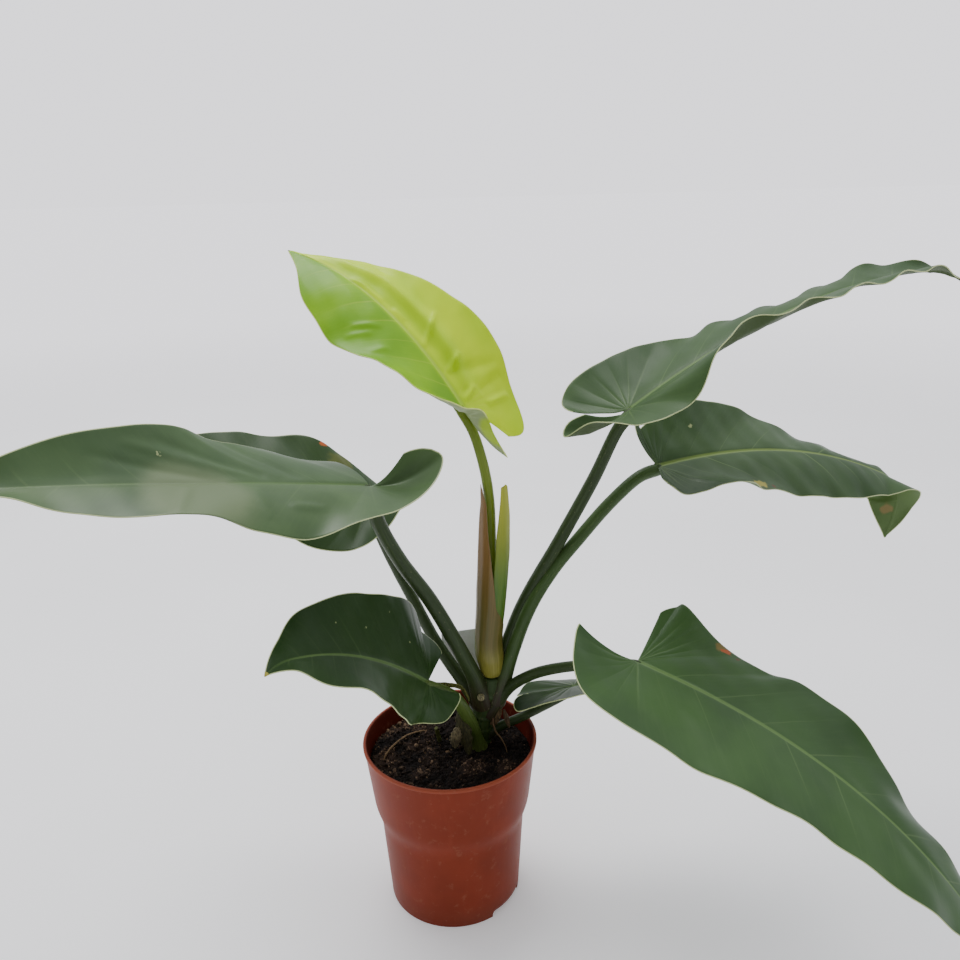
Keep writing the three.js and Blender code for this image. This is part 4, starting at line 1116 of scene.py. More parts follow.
def make_root(name, radius, route, finish):
    """A thin rod that tapers by a third and swells and narrows unevenly on its way."""
    share = np.linspace(0, 1, ROOT_POINTS)
    radii = radius * (1 - 0.3 * share) * (1 + 0.12 * np.sin(share * 41) * np.sin(share * 17))
    return make_stalk(name, rounded_route(route, ROOT_POINTS), radii, finish, ROOT_SIDES,
                      radius * 0.6 * MM, 4 * MM)


for name, (radius, route) in ROOTS.items():
    finish = STUB_FINISH if name == "cut_petiole" else ROOT_FINISH
    finish_piece(make_root(name, radius, route, finish), [name])

# %% [markdown]
# ## The papery sheath
#
# A philodendron wraps each new leaf in a narrow leaf of its own, which dries out once the new one is
# free. Here it is a round sleeve that has split at the front into two long points. The brown side
# laps over the green one lower down, so the slit closes there. It is made as a grid: one direction
# goes round the sleeve from margin to margin, and the other goes up to a top edge that is different
# all the way round. Two layers of the grid, joined at their edges, give it its thickness. Cutting
# the points out of a plain tube would also do, but cut edges stay sharp and don't thin out as the
# real papery margins do.

# %% The shape of the sheath
# Pairs of a height and a value: the middle's x, the radius, and the angles of the two margins in
# degrees. The top edge has pairs of a share of the turn and a height.
SHEATH_CENTRES = [(163, 30.5), (178, 29.4), (187, 28.6), (200, 29.4), (213, 30.8), (231, 32),
                  (255, 33.5), (282, 34.4), (305, 34.8)]
SHEATH_RADII = [(163, 5.4), (165, 7), (177, 9.3), (189, 8.9), (213, 9.5), (230, 10.1), (255, 10.6),
                (281, 10.2), (302, 8.7)]
BROWN_MARGIN = [(163, 40), (190, 20), (199, -5), (216, -74), (241, -92), (246, -97), (269, -113),
                (291, -123), (300, -150)]
GREEN_MARGIN = [(163, 0), (190, -20), (199, -45), (216, -78), (230, -88), (246, -88), (269, -84),
                (285, -74), (291, -68), (302, -60)]
SHEATH_TOP = [(0, 299), (0.05, 303.5), (0.12, 288), (0.25, 235), (0.5, 215), (0.7, 235),
              (0.79, 285), (0.84, 300), (0.9, 302.5), (1, 301)]
SHEATH_BOTTOM, SHEATH_THICKNESS, SHEATH_Y, LAP = 163.4, 0.7, 10, 0.55
SHEATH_ROWS, SHEATH_COLUMNS = 120, 130
PLEAT_DEPTH, PLEATS = 0.09, 13
EDGE_SHARE = 0.35               # what is left of the thickness at the margins and the top edge


def along_pairs(pairs, at, soft):
    """Values between (place, value) pairs, with the corners rounded over the distance soft."""
    places, values = zip(*pairs)
    return np.mean([np.interp(at + soft * k, places, values) for k in np.linspace(-1, 1, 9)], axis=0)


def shell_between(name, outer, inner):
    """A closed sheet from two grids of points, joined along their four edges."""
    rows, columns = outer.shape[:2]
    index = np.arange(rows * columns).reshape(rows, columns)
    back = index + rows * columns
    faces = []
    for i in range(rows - 1):
        for j in range(columns - 1):
            faces.append((index[i, j], index[i + 1, j], index[i + 1, j + 1], index[i, j + 1]))
            faces.append((back[i, j], back[i, j + 1], back[i + 1, j + 1], back[i + 1, j]))
    loop = [*index[0, :-1], *index[:-1, -1], *index[-1, :0:-1], *index[:0:-1, 0]]
    for a, b in zip(loop, loop[1:] + loop[:1]):
        faces.append((a, b, b + rows * columns, a + rows * columns))
    points = np.concatenate([outer.reshape(-1, 3), inner.reshape(-1, 3)])
    return make_object(name, points, [tuple(int(i) for i in face) for face in faces])


def make_sheath():
    """turn goes round from the brown margin to the green one, and rise goes up to the top edge."""
    turn, rise = np.meshgrid(np.linspace(0, 1, SHEATH_COLUMNS), np.linspace(0, 1, SHEATH_ROWS))
    top = along_pairs(SHEATH_TOP, turn[0], 0.012)
    z = SHEATH_BOTTOM + (top - SHEATH_BOTTOM) * rise
    first, last = along_pairs(BROWN_MARGIN, z, 3), along_pairs(GREEN_MARGIN, z, 3) - 360
    angle = np.radians(first + (last - first) * turn)
    pleats = PLEAT_DEPTH * np.sin(angle * PLEATS) * smooth_step(0, 0.2, rise)
    full = np.minimum(1, np.minimum(np.minimum(turn, 1 - turn) * 14, (1 - rise) * 12))
    thick = SHEATH_THICKNESS * (EDGE_SHARE + (1 - EDGE_SHARE) * full)
    spiral = LAP * (smooth_step(0.14, 0, turn) - smooth_step(0.86, 1, turn))
    layers = []
    for side in (0.5, -0.5):
        radius = along_pairs(SHEATH_RADII, z, 2) + pleats + spiral + side * thick
        x = along_pairs(SHEATH_CENTRES, z, 4) + radius * np.cos(angle)
        layers.append(np.dstack([x, SHEATH_Y + radius * np.sin(angle), z]))
    piece = shell_between("sheath", *layers)
    set_attribute(piece, "turn", np.tile(turn.ravel(), 2))
    set_attribute(piece, "round", np.tile(angle.ravel(), 2))
    set_attribute(piece, "height", np.tile(z.ravel() * MM, 2))
    return piece


sheath = make_sheath()
print("points of the sheath:", len(sheath.data.vertices))

# %% [markdown]
# A dry sheath is papery, with fine upright fibres. One margin has dried to a red-brown, the other is
# still green and turns straw-coloured at its tip, and the foot is pale where it was shaded. The
# grid's own directions carry the fibres and the change of colour.

# %% The finish of the sheath
def sheath_material():
    made, tree, shader = material("sheath", Roughness=0.42, Specular_IOR_Level=0.4)
    turn, height = attribute(tree, "turn"), attribute(tree, "height")
    at = joined(tree, X=times(tree, attribute(tree, "round"), 9.0), Y=times(tree, height, 12.0))
    fibres = noise(tree, at, 1.0, 5.0, 0.65)
    fibre = step(tree, fibres, 0.4, 0.65)
    faint_fibre = times(tree, fibre, 0.3)
    wander = about_zero(tree, noise(tree, object_place(tree), 60.0, 2.0), 0.2)
    brown = blend(tree, step(tree, height, 0.195, 0.27), colour(88, 84, 30), colour(122, 90, 44))
    brown = blend(tree, faint_fibre, brown, colour(134, 106, 50))
    green = blend(tree, step(tree, height, 0.225, 0.30), colour(66, 104, 22), colour(166, 168, 36))
    green = blend(tree, faint_fibre, green, colour(116, 136, 46))
    base = blend(tree, step(tree, plus(tree, turn, wander), 0.4, 0.6), brown, green)
    foot = blend(tree, fibre, colour(124, 120, 42), colour(144, 140, 64))
    low = plus(tree, height, times(tree, wander, 0.08))
    base = blend(tree, step(tree, low, 0.168, 0.196, 0.95, 0.0), base, foot)
    tree.links.new(base, shader.inputs["Base Color"])
    set_bump(tree, shader, fibres, 0.3, 0.0004)
    return made


finish_piece(sheath, ["sheath"], sheath_material())

# %% [markdown]
# ## The nursery pot
#
# The pot is moulded plastic: thin, satin, with a wider collar above a plain body, a small lip round
# the rim and two notches in its foot for the water to run out. A profile turned about the upright
# axis makes it. Each corner of the profile gets its own radius first, because a moulded edge is
# never sharp and a rounded edge catches the light. A bevel modifier could round them too, but it
# gives every edge one width. The notches and drain holes are cut out last.

# %% Turning a rounded profile
def rounded_profile(corners, pieces=4):
    """Replaces each (radius, z, rounding) corner by points on an arc of about that rounding."""
    found = []
    for before, here, after in zip([corners[0], *corners], corners, [*corners[1:], corners[-1]]):
        place = np.array(here[:2], float)
        sides = [np.array(other[:2], float) - place for other in (before, after)]
        reach = [np.linalg.norm(side) for side in sides]
        if here[2] == 0 or min(reach) == 0:
            found.append(place)
            continue
        cut = min(here[2], 0.45 * min(reach))
        start, end = (place + side / length * cut for side, length in zip(sides, reach))
        for t in np.linspace(0, 1, pieces + 1):
            found.append((1 - t) ** 2 * start + 2 * t * (1 - t) * place + t * t * end)
    return np.array(found)


def turned(name, profile, sides):
    """Turns a profile of (radius, z), which starts and ends on the axis, into a closed shell."""
    angles = np.linspace(0, 2 * np.pi, sides, endpoint=False)
    ring = profile[1:-1]
    points = np.array([(r * np.cos(a), r * np.sin(a), z) for r, z in ring for a in angles])
    points = np.vstack([points, [(0, 0, profile[0][1]), (0, 0, profile[-1][1])]])
    first, last = len(points) - 2, len(points) - 1
    faces = []
    for j in range(sides):
        k = (j + 1) % sides
        faces.append((first, k, j))
        for i in range(len(ring) - 1):
            faces.append((i * sides + j, i * sides + k, (i + 1) * sides + k, (i + 1) * sides + j))
        faces.append(((len(ring) - 1) * sides + j, (len(ring) - 1) * sides + k, last))
    return make_object(name, points, faces)


POT_OUTSIDE = [(0, 0, 0), (16, 0, 1), (20, 5, 1.2), (44.6, 5, 0.8), (44.6, 0, 0.5), (46, 0, 0.7),
               (46.46, 7, 0), (50.2, 64, 6), (54, 75, 5), (59.1, 119.5, 0.5), (60, 120, 0.4), (60, 122, 0.7)]
POT_INSIDE = [(57.7, 122, 0.8), (52.6, 75.5, 4), (48.8, 64.5, 5), (45.24, 10, 0), (45.0, 6.4, 1.0),
              (19.5, 6.4, 1.0), (15.5, 1.4, 1.0), (0, 1.4, 0)]
POT_SIDES = 160
NOTCHES, NOTCH_WIDTH, NOTCH_HEIGHT = (-37, 143), 32, 4.8        # the notches' directions in degrees
NOTCH_REACH, NOTCH_START = (39, 53), -3
DRAIN_HOLES, DRAIN_CIRCLE, DRAIN_RADIUS = 8, 32, 4
DRAIN_SIDES, DRAIN_REACH = 24, (3, 9)


def cut_from(piece, cutters):
    """Takes the shapes of the cutters away from a piece, and the cutters out of the scene."""
    for cutter in cutters:
        modifier = piece.modifiers.new("cut", "BOOLEAN")
        modifier.operation = "DIFFERENCE"
        modifier.solver = "EXACT"
        modifier.object = cutter
    applied(piece)
    for cutter in cutters:
        bpy.data.objects.remove(cutter)


def prism_faces(count):
    """The faces of a prism: count points round one end, and then as many round the other."""
    walls = [(i, (i + 1) % count, (i + 1) % count + count, i + count) for i in range(count)]
    return [*walls, tuple(range(count - 1, -1, -1)), tuple(range(count, 2 * count))]


def notch_cutter(azimuth):
    """A block with a rounded top across the foot of the pot."""
    turn = math.radians(azimuth)
    out, across = np.array([math.cos(turn), math.sin(turn)]), np.array([-math.sin(turn), math.cos(turn)])
    half, top = NOTCH_WIDTH / 2, NOTCH_HEIGHT
    outline = [(-half, NOTCH_START), (half, NOTCH_START), (half, top - 2), (half - 0.7, top - 0.6),
               (half - 2, top), (2 - half, top), (0.7 - half, top - 0.6), (-half, top - 2)]
    points = [(*(out * r + across * side), z) for r in NOTCH_REACH for side, z in outline]
    return make_object("notch", points, prism_faces(len(outline)))


def drain_cutter(number):
    """A short upright rod where one of the drain holes goes."""
    angle = 2 * math.pi * (number + 0.5) / DRAIN_HOLES
    spokes = np.linspace(0, 2 * np.pi, DRAIN_SIDES, endpoint=False)
    centre = DRAIN_CIRCLE * np.array([math.cos(angle), math.sin(angle)])
    points = [(*(centre + DRAIN_RADIUS * np.array([math.cos(s), math.sin(s)])), z)
              for z in DRAIN_REACH for s in spokes]
    return make_object("drain", points, prism_faces(DRAIN_SIDES))


def make_pot():
    profile = rounded_profile([*POT_OUTSIDE, *POT_INSIDE])
    pot = turned("pot", profile, POT_SIDES)
    cut_from(pot, [*map(notch_cutter, NOTCHES), *map(drain_cutter, range(DRAIN_HOLES))])
    return pot


pot = make_pot()
print("points of the pot:", len(pot.data.vertices))

# %% [markdown]
# The plastic is terracotta-coloured all through, with a faint upright grain from the mould, dust in
# places and a paler band round the top of the rim. The inner face above the peat is darker: painted
# shade. Noise in the pot's own coordinates gives the grain and the dust, and heights and distances in them
# the rest.

# %% The finish of the pot
COLLAR_FOOT, COLLAR_MIDDLE, COLLAR_SLOPE = 0.075, 0.053, 0.1146     # metres, metres, out per rise


def shaded_inner_face(tree, place, height):
    """1 on the collar's inner face and 0 on its outer face, which a cone through the wall parts."""
    out = vector(tree, "LENGTH", vector(tree, "MULTIPLY", place, (1, 1, 0)))
    rise = maths(tree, "SUBTRACT", height, COLLAR_FOOT)
    wall = plus(tree, times(tree, rise, COLLAR_SLOPE), COLLAR_MIDDLE)
    inside = step(tree, maths(tree, "SUBTRACT", out, wall), -0.0003, 0.0003, 1.0, 0.0)
    return times(tree, inside, step(tree, height, 0.074, 0.08))


def pot_material():
    made, tree, shader = material("pot_plastic", Specular_IOR_Level=0.1)
    place = object_place(tree)
    height = split(tree, place)[2]
    clouds = noise(tree, place, 30.0, 3.0)
    streaks = noise(tree, vector(tree, "MULTIPLY", place, (260, 260, 10)), 1.0, 3.0, 0.6)
    specks = noise(tree, place, 900.0, 2.0, 0.6)
    dust = step(tree, noise(tree, place, 160.0, 4.0, 0.7), 0.56, 0.7, 0.0, 0.25)
    base = blend(tree, step(tree, clouds, 0.35, 0.7), colour(120, 46, 26), colour(130, 51, 30))
    base = blend(tree, step(tree, streaks, 0.5, 0.75, 0.0, 0.16), base, colour(142, 64, 42))
    # A paler band round the top of the rim.
    base = blend(tree, step(tree, height, 0.1185, 0.1205, 0.0, 0.35), base, colour(176, 96, 70))
    # Painted shade: the collar's inner face above the peat is darkened, where shade falls inside the pot.
    base = blend(tree, times(tree, shaded_inner_face(tree, place, height), 0.8), base, colour(84, 28, 20))
    low = times(tree, step(tree, height, 0.0, 0.02, 0.4, 0.0), step(tree, clouds, 0.3, 0.6))
    base = blend(tree, low, base, colour(112, 62, 46))
    base = blend(tree, dust, base, colour(150, 100, 80))
    tree.links.new(base, shader.inputs["Base Color"])
    rough = plus(tree, times(tree, clouds, 0.1), 0.38)
    tree.links.new(plus(tree, rough, times(tree, dust, 0.6)), shader.inputs["Roughness"])
    set_bump(tree, shader, times(tree, plus(tree, specks, streaks), 0.5), 0.25, 0.0003)
    return made


finish_piece(pot, ["pot"], pot_material())

# %% [markdown]
# ## Small things at the crown
#
# Old leaves leave dry, brownish scales round the foot of the stem, and a round side bud sits above
# them. A scale is a thin cupped sheet along a short path, pointed at both ends and a little ragged.
# One scale could be copied around, but each is crumpled in its own way, so each has its own path.
# The bud is a turned shape with a dimple, laid on its side.

# %% Dry scales and the bud
SCALES = {                      # path, sideways direction, half width, cup, tint
    "scale_papery": ([(5, -5, 132), (4, -7.5, 126), (3.2, -8, 118)],
                     (1, 0.1, 0.05), 4.2, 1.6, (128, 116, 84)),
    "scale_broad": ([(8, -1, 146), (8.6, -3, 136), (10.5, -5.5, 125), (13, -8, 112)],
                    (1, -0.2, 0.3), 5.2, 2.2, (74, 72, 40)),
    "scale_green": ([(-9, -6, 167), (0, -4.5, 165), (9, -3, 161), (13.5, -2, 150)],
                    (0.1, 0.5, -1), 2.4, 1.0, (112, 116, 48)),
    "scale_small": ([(29, 3, 126), (32, 1.5, 133), (36, 1.5, 139.5)],
                    (0.7, -0.5, -0.6), 3.0, 1.2, (112, 92, 60)),
    "scale_torn": ([(38, 3, 139), (39.5, 1, 133), (41.5, 0.5, 126)],
                   (0.9, -0.3, 0.3), 1.8, 0.8, (98, 78, 52)),
}
SCALE_ROWS, SCALE_COLUMNS, SCALE_THICKNESS = 28, 14, 0.4


def make_scale(name, path, side, width, cup):
    """A sheet that is widest half way along its path, hollow across it and a little crumpled."""
    path = rounded_route(path, SCALE_ROWS)
    side = np.array(side) / np.linalg.norm(side)
    front = np.cross(np.gradient(path, axis=0), side)
    front = (front / np.linalg.norm(front, axis=1)[:, None])[:, None]
    share, across = np.meshgrid(np.linspace(0, 1, SCALE_ROWS), np.linspace(-1, 1, SCALE_COLUMNS),
                                indexing="ij")
    ragged = 1 + 0.12 * np.sin(share * 37 + across)
    half = width * np.sin(math.pi * (0.08 + 0.86 * share)) ** 0.8 * ragged
    swell = cup * (1 - across ** 2) + 0.25 * np.sin(9 * share + 7 * across)
    middle = path[:, None] + side * (half * across)[..., None] + front * swell[..., None]
    return shell_between(name, middle + front * SCALE_THICKNESS / 2, middle - front * SCALE_THICKNESS / 2)


BUD_CENTRE, BUD_SIDES = (22.2, -0.8, 151.8), 32
BUD_PROFILE = [(0, -2.4, 0), (2.2, -2.2, 1), (2.7, 0.4, 1.5), (1.9, 2.1, 0.8), (0.9, 2.4, 0.3),
               (0.5, 1.9, 0.3), (0, 1.8, 0)]


def make_bud():
    """The turned bud is laid on its side, so that its dimple looks to the front."""
    bud = turned("bud", rounded_profile(BUD_PROFILE), BUD_SIDES)
    x, y, z = np.array([vertex.co for vertex in bud.data.vertices]).T
    places = np.column_stack([x, -z, y]) + np.array(BUD_CENTRE) * MM
    bud.data.vertices.foreach_set("co", places.ravel())
    return bud


print("scales to make:", len(SCALES))

# %% [markdown]
# A dried scale has fine upright fibres, light on dark, and no gloss. The six dry pieces differ in
# colour only, so one node group draws the fibres, and each piece's material gives it two tones.

# %% The finish of the dry pieces
FIBRE_STRETCH = (1400, 1400, 160)
DARK_FIBRE = 0.55               # how dark the dark tone is, as a share of the light one


def dry_fibres():
    tree, given, result = group_with(
        "dry_fibres", [("Dark", "Color", colour(60, 56, 40)), ("Light", "Color", colour(110, 100, 70))],
        [("Color", "Color"), ("Height", "Float")])
    fibres = noise(tree, vector(tree, "MULTIPLY", object_place(tree), FIBRE_STRETCH), 1.0, 4.0, 0.65)
    base = blend(tree, step(tree, fibres, 0.35, 0.65), given["Dark"], given["Light"])
    tree.links.new(base, result["Color"])
    tree.links.new(fibres, result["Height"])
    return tree


DRY_FIBRES = dry_fibres()


def dry_material(name, tint):
    made, tree, shader = material(name, Roughness=0.75, Specular_IOR_Level=0.3)
    dark = colour(*(int(c * DARK_FIBRE) for c in tint))
    fibres = node(tree, "ShaderNodeGroup", {"Dark": dark, "Light": colour(*tint)}, node_tree=DRY_FIBRES)
    tree.links.new(fibres.outputs["Color"], shader.inputs["Base Color"])
    set_bump(tree, shader, fibres.outputs["Height"], 0.6, 0.0008)
    return made


for name, (path, side, width, cup, tint) in SCALES.items():
    finish_piece(make_scale(name, path, side, width, cup), (), dry_material(name, tint))
finish_piece(make_bud(), (), dry_material("bud", (160, 152, 112)))

# %% [markdown]
# ## The peat
#
# Potting peat is loose: soft mounds, clods of a few millimetres and crumbs of all sizes. The body
# under it is turned like the pot's inside, with a top of fine rings that follows the mounds.

# %% The body of the peat
SOIL_TOP, SOIL_EDGE = 108, 55.6
SOIL_RINGS, SOIL_SIDES = 70, 220
SOIL_MOUNDS = [             # x, y, height, spread
    (-36, 8, 6, 15), (-22, -30, 3, 9), (14, -24, 6, 7), (40, -20, 4, 6), (2, 32, 3, 10), (36, 24, 3, 8),
    (-10, -8, 3, 7)]


def make_peat_body():
    """The peat fills the pot from its floor. The attribute top is 1 where its surface may crumble."""
    under = rounded_profile([(0, 1.7, 0), (15, 1.7, 1), (19.3, 6.7, 1), (44.7, 6.7, 1), (48.5, 64.5, 5),
                             (52.3, 75.5, 4), (SOIL_EDGE, SOIL_TOP - 3, 0)])
    top = [(SOIL_EDGE * (1 - i / SOIL_RINGS), SOIL_TOP) for i in range(1, SOIL_RINGS + 1)]
    piece = turned("peat", np.vstack([under, (SOIL_EDGE, SOIL_TOP - 0.5), top]), SOIL_SIDES)
    points = np.array([vertex.co for vertex in piece.data.vertices]) / MM
    x, y = points[:, 0], points[:, 1]
    radius = np.hypot(x, y)
    is_top = (points[:, 2] > SOIL_TOP - 1) * smooth_step(SOIL_EDGE, SOIL_EDGE - 3, radius)
    lift = 0.8 * np.sin(0.41 * x + 1) * np.cos(0.37 * y) + 0.5 * np.sin(0.9 * x - 0.7 * y)
    for centre_x, centre_y, height, spread in SOIL_MOUNDS:
        lift += height * np.exp(-((x - centre_x) ** 2 + (y - centre_y) ** 2) / (2 * spread * spread))
    points[:, 2] += lift * is_top
    piece.data.vertices.foreach_set("co", (points * MM).ravel())
    set_attribute(piece, "top", is_top)
    return piece


peat = make_peat_body()
print("points of the peat's body:", len(peat.data.vertices))

# %% [markdown]
# Crumbs placed one by one would be a long list, and a bump alone looks like bark. So a Geometry Nodes
# tree makes the top uneven and scatters clods and crumbs over it, each with its own size and turn.
# Then it shifts every point a little, which breaks the round pebbles. Every one of them keeps a
# random tone, so that neighbours differ in colour.

# %% The tree that crumbles it
PEBBLE_SHAPE = (1.0, 0.8, 0.65)
LOOSE_ABOVE = 0.1035            # metres: only what lies above this height is roughened


def crumble_tree():
    tree, given, result = tree_of_nodes("crumbled_peat", [
        ("Unevenness", "Float", 0.0035), ("Crumbs Per Area", "Float", 500000.0),
        ("Clods Per Area", "Float", 40000.0), ("Crumb Size", "Float", 0.0011),
        ("Clod Size", "Float", 0.0023), ("Raggedness", "Float", 0.0026), ("Seed", "Int", 7),
        ("Material", "Material", None)])
    top = node(tree, "GeometryNodeInputNamedAttribute", {"Name": "top"}).outputs[0]
    broad = node(tree, "ShaderNodeTexNoise", {"Scale": 75.0, "Detail": 5.0, "Roughness": 0.62}).outputs[0]
    lift = times(tree, about_zero(tree, broad, given["Unevenness"]), 2.0)
    offset = joined(tree, Z=times(tree, lift, top))
    ground = node(tree, "GeometryNodeSetPosition",
                  {"Geometry": given["Geometry"], "Offset": offset}).outputs[0]
    fixed = node(tree, "GeometryNodeStoreNamedAttribute", {"Geometry": ground, "Name": "tone", "Value": 0.3})
    parts = [fixed.outputs[0]]
    for density, size, detail in (("Crumbs Per Area", "Crumb Size", 1), ("Clods Per Area", "Clod Size", 2)):
        spread = node(tree, "GeometryNodeDistributePointsOnFaces",
                      {"Mesh": ground, "Density": times(tree, given[density], top),
                       "Seed": given["Seed"]}).outputs[0]
        pebble = node(tree, "GeometryNodeMeshIcoSphere", {"Radius": 1.0, "Subdivisions": detail}).outputs[0]
        random = [node(tree, "FunctionNodeRandomValue", {"Seed": 10 * detail + k}, data_type=kind)
                  for k, kind in enumerate(("FLOAT", "FLOAT_VECTOR", "FLOAT"))]
        random[0].inputs[2].default_value, random[0].inputs[3].default_value = 0.25, 1.0
        random[1].inputs[1].default_value = (6.28, 6.28, 6.28)
        scale = times(tree, maths(tree, "POWER", random[0].outputs[1], 1.6), given[size])
        squash = vector(tree, "SCALE", PEBBLE_SHAPE, scale=scale)
        placed = node(tree, "GeometryNodeInstanceOnPoints",
                      {"Points": spread, "Instance": pebble, "Rotation": random[1].outputs[0],
                       "Scale": squash}).outputs[0]
        toned = node(tree, "GeometryNodeStoreNamedAttribute", {"Geometry": placed, "Name": "tone"},
                     domain="INSTANCE")
        tree.links.new(random[2].outputs[1], toned.inputs["Value"])
        parts.append(toned.outputs[0])
    together = node(tree, "GeometryNodeJoinGeometry")
    for geometry in reversed(parts):
        tree.links.new(geometry, together.inputs[0])
    real = node(tree, "GeometryNodeRealizeInstances", {"Geometry": together.outputs[0]}).outputs[0]
    ragged = node(tree, "ShaderNodeTexNoise", {"Scale": 640.0, "Detail": 3.0}).outputs["Color"]
    ragged = vector(tree, "SUBTRACT", ragged, (0.5, 0.5, 0.5))
    ragged = vector(tree, "SCALE", ragged, scale=given["Raggedness"])
    height = split(tree, node(tree, "GeometryNodeInputPosition").outputs[0])[2]
    ragged = vector(tree, "SCALE", ragged, scale=maths(tree, "GREATER_THAN", height, LOOSE_ABOVE))
    rough = node(tree, "GeometryNodeSetPosition", {"Geometry": real, "Offset": ragged}).outputs[0]
    flat = node(tree, "GeometryNodeSetShadeSmooth", {"Geometry": rough, "Shade Smooth": False}).outputs[0]
    painted = node(tree, "GeometryNodeSetMaterial", {"Geometry": flat, "Material": given["Material"]})
    tree.links.new(painted.outputs[0], result["Geometry"])
    return tree


CRUMBLE_TREE = crumble_tree()
print("nodes in the crumble tree:", len(CRUMBLE_TREE.nodes))

# %% [markdown]
# Wet peat is nearly black. It is dry and paler at the left and on two mounds at the front. Clouds of
# noise fray the border between wet and dry, and the tone of each crumb varies both colours.

# %% The finish of the peat
SOIL_DRY_SPOTS = [((0.0128, -0.0195, 0.111), 0.014), ((0.0376, -0.022, 0.109), 0.008)]   # place, reach


def peat_material():
    made, tree, shader = material("peat", Roughness=0.92, Specular_IOR_Level=0.2)
    place = object_place(tree)
    tone = attribute(tree, "tone")
    clouds = noise(tree, place, 45.0, 4.0, 0.6)
    grit = noise(tree, place, 700.0, 3.0, 0.6)
    left = step(tree, split(tree, place)[0], -0.034, 0.002, 1.0, 0.1)
    dry = times(tree, left, step(tree, clouds, 0.4, 0.56))
    for spot, reach in SOIL_DRY_SPOTS:
        away = plus(tree, vector(tree, "DISTANCE", place, spot), about_zero(tree, clouds, 0.03))
        dry = maths(tree, "MAXIMUM", dry, step(tree, away, reach * 0.6, reach, 0.9, 0.0))
    wet = blend(tree, tone, colour(13, 10, 9), colour(36, 27, 23))
    light = blend(tree, step(tree, tone, 0.3, 1.0), colour(54, 40, 32), colour(150, 122, 98))
    base = blend(tree, dry, wet, light)
    base = blend(tree, step(tree, tone, 0.97, 0.98, 0.0, 0.6), base, colour(140, 112, 84))
    base = blend(tree, step(tree, grit, 0.45, 0.7, 0.0, 0.4), base, colour(20, 14, 12))
    tree.links.new(base, shader.inputs["Base Color"])
    set_bump(tree, shader, grit, 0.8, 0.0008)
    return made


with_nodes(peat, CRUMBLE_TREE, {"Material": peat_material()})
finish_piece(applied(peat), ["soil"])

# %% [markdown]
# ## The plant label
#
# A stiff plastic card on a narrow stake stands in the peat behind the stem. It is a thin plate with
# rounded corners, left blank, with slightly scuffed faces and some dirt where it leaves the peat. A
# box would do for what shows of it, but from behind its whole outline is seen.

# %% The label
LABEL_HALF_WIDTH, LABEL_HALF_HEIGHT, LABEL_THICKNESS = 17, 52, 0.8
LABEL_CENTRE, LABEL_TILT = (18, 33, 134), math.radians(-5)
LABEL_OUTLINE = [(0, LABEL_HALF_HEIGHT, 0), (LABEL_HALF_WIDTH, LABEL_HALF_HEIGHT, 2.5),
                 (LABEL_HALF_WIDTH, 30, 4), (4, -2, 6), (3, -LABEL_HALF_HEIGHT, 1),
                 (0, -LABEL_HALF_HEIGHT, 0)]
LABEL_LAYERS = [(-0.5, 0.15), (-0.3, 0), (0.3, 0), (0.5, 0.15)]     # share of the thickness, inset


def make_label():
    """The outline's right half is mirrored, and four layers of it give the card its softened edge."""
    right = rounded_profile(LABEL_OUTLINE, 5)[1:-1]
    outline = [*right, *[(-x, z) for x, z in right[::-1]]][::-1]
    centre_x, centre_y, centre_z = LABEL_CENTRE
    points = []
    for layer, inset in LABEL_LAYERS:
        for x, z in outline:
            x, z = x * (1 - inset / LABEL_HALF_WIDTH), z * (1 - inset / LABEL_HALF_HEIGHT)
            points.append((centre_x + x * math.cos(LABEL_TILT) + z * math.sin(LABEL_TILT),
                           centre_y + layer * LABEL_THICKNESS,
                           centre_z - x * math.sin(LABEL_TILT) + z * math.cos(LABEL_TILT)))
    count = len(outline)
    faces = [tuple(range(count)), tuple(range(4 * count - 1, 3 * count - 1, -1))]
    for layer in range(3):
        for i in range(count):
            a, b = layer * count + i, layer * count + (i + 1) % count
            faces.append((b, a, a + count, b + count))
    return make_object("plant_label", points, faces, smooth=False)


def label_material():
    made, tree, shader = material("label_card", Roughness=0.4)
    place = object_place(tree)
    scuffs = noise(tree, place, 140.0, 5.0, 0.7)
    base = blend(tree, step(tree, scuffs, 0.5, 0.75, 0.0, 0.4), colour(226, 227, 225), colour(206, 206, 200))
    low = step(tree, split(tree, place)[2], 0.108, 0.125, 1.0, 0.0)
    dirt = times(tree, low, step(tree, scuffs, 0.35, 0.6))
    base = blend(tree, dirt, base, colour(96, 78, 62))
    tree.links.new(base, shader.inputs["Base Color"])
    set_bump(tree, shader, scuffs, 0.15, 0.0003)
    return made


finish_piece(make_label(), ["plant_label"], label_material())

# %% [markdown]
# ## Floor and light
#
# The plant stands on a wide pale floor in soft daylight that comes from above and from behind. The
# room in front of the plant is darker, which is what leaves and pot mirror there. A curved paper
# sweep could hide the horizon, but it would stand in the way of a view from behind. So the floor
# turns, further out, into the tone of the background that the camera sees.

# %% Floor, light and background
BACKDROP, BACKDROP_STRENGTH = colour(222, 221, 226), 2.25
FLOOR_HALF = 30000
BACKDROP_FROM, BACKDROP_TO = 0.7, 3.2           # metres from the pot


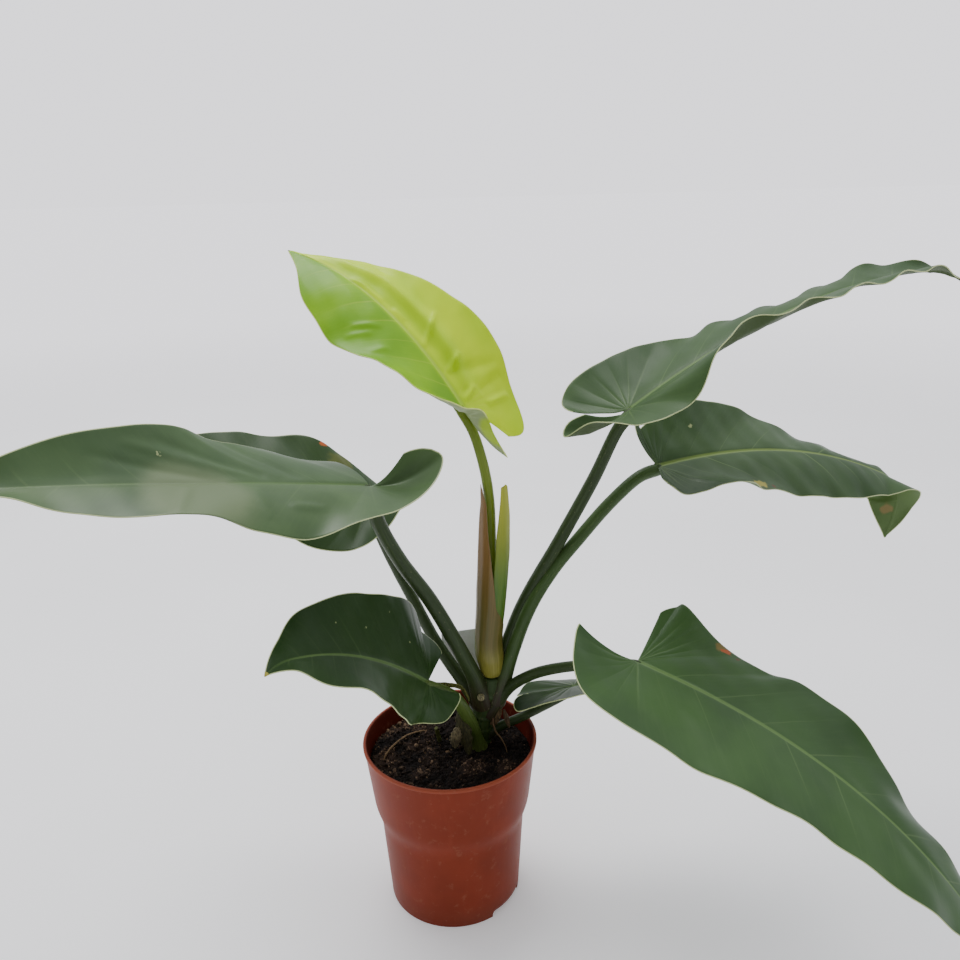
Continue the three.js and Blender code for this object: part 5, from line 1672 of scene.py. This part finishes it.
def make_floor():
    corners = [(x * FLOOR_HALF, y * FLOOR_HALF, 0) for x, y in ((-1, -1), (1, -1), (1, 1), (-1, 1))]
    floor = make_object("floor", corners, [(0, 1, 2, 3)])
    made, tree, shader = material("floor_paper", Roughness=0.85, Specular_IOR_Level=0.1,
                                  Emission_Strength=BACKDROP_STRENGTH)
    clouds = noise(tree, object_place(tree), 2.5, 2.0)
    base = blend(tree, step(tree, clouds, 0.3, 0.7), colour(238, 237, 238), colour(243, 242, 243))
    far = step(tree, vector(tree, "LENGTH", object_place(tree)), BACKDROP_FROM, BACKDROP_TO)
    tree.links.new(blend(tree, far, base, (0, 0, 0, 1)), shader.inputs["Base Color"])
    tree.links.new(blend(tree, far, (0.1, 0.1, 0.1, 1), BACKDROP), shader.inputs["Emission Color"])
    floor.data.materials.append(made)


def make_world():
    world = bpy.data.worlds.new("soft_daylight")
    bpy.context.scene.world = world
    world.use_nodes = True
    tree = world.node_tree
    background = tree.nodes["Background"]
    _, back, up = split(tree, node(tree, "ShaderNodeTexCoord").outputs["Generated"])
    strength = times(tree, step(tree, back, -0.9, 0.3, 0.4, 1.0), step(tree, up, 0.1, 0.95, 0.8, 1.5))
    seen = node(tree, "ShaderNodeLightPath").outputs["Is Camera Ray"]
    light = node(tree, "ShaderNodeBackground", {"Color": colour(238, 240, 246), "Strength": strength})
    background.inputs["Color"].default_value = BACKDROP
    background.inputs["Strength"].default_value = BACKDROP_STRENGTH
    mixed = node(tree, "ShaderNodeMixShader", {0: seen, 1: light.outputs[0], 2: background.outputs[0]})
    tree.links.new(mixed.outputs[0], tree.nodes["World Output"].inputs[0])


def soft_light(name, place, target, size, power):
    """A round area light at a place in metres that shines on a target."""
    data = bpy.data.lights.new(name, "AREA")
    data.shape = "DISK"
    data.size = size
    data.energy = power
    light = bpy.data.objects.new(name, data)
    back = np.array(place, float) - np.array(target, float)
    back /= np.linalg.norm(back)
    right = np.cross((0, 1, 0.01), back)
    right /= np.linalg.norm(right)
    turn = Matrix(np.column_stack([right, np.cross(back, right), back]).tolist()).to_4x4()
    light.matrix_world = Matrix.Translation(place) @ turn
    bpy.context.collection.objects.link(light)


make_floor()
make_world()
soft_light("overhead", (-0.4, 0.7, 2.3), (0, 0, 0.2), 1.4, 38)
print("pieces of the stage: floor, world, overhead light")
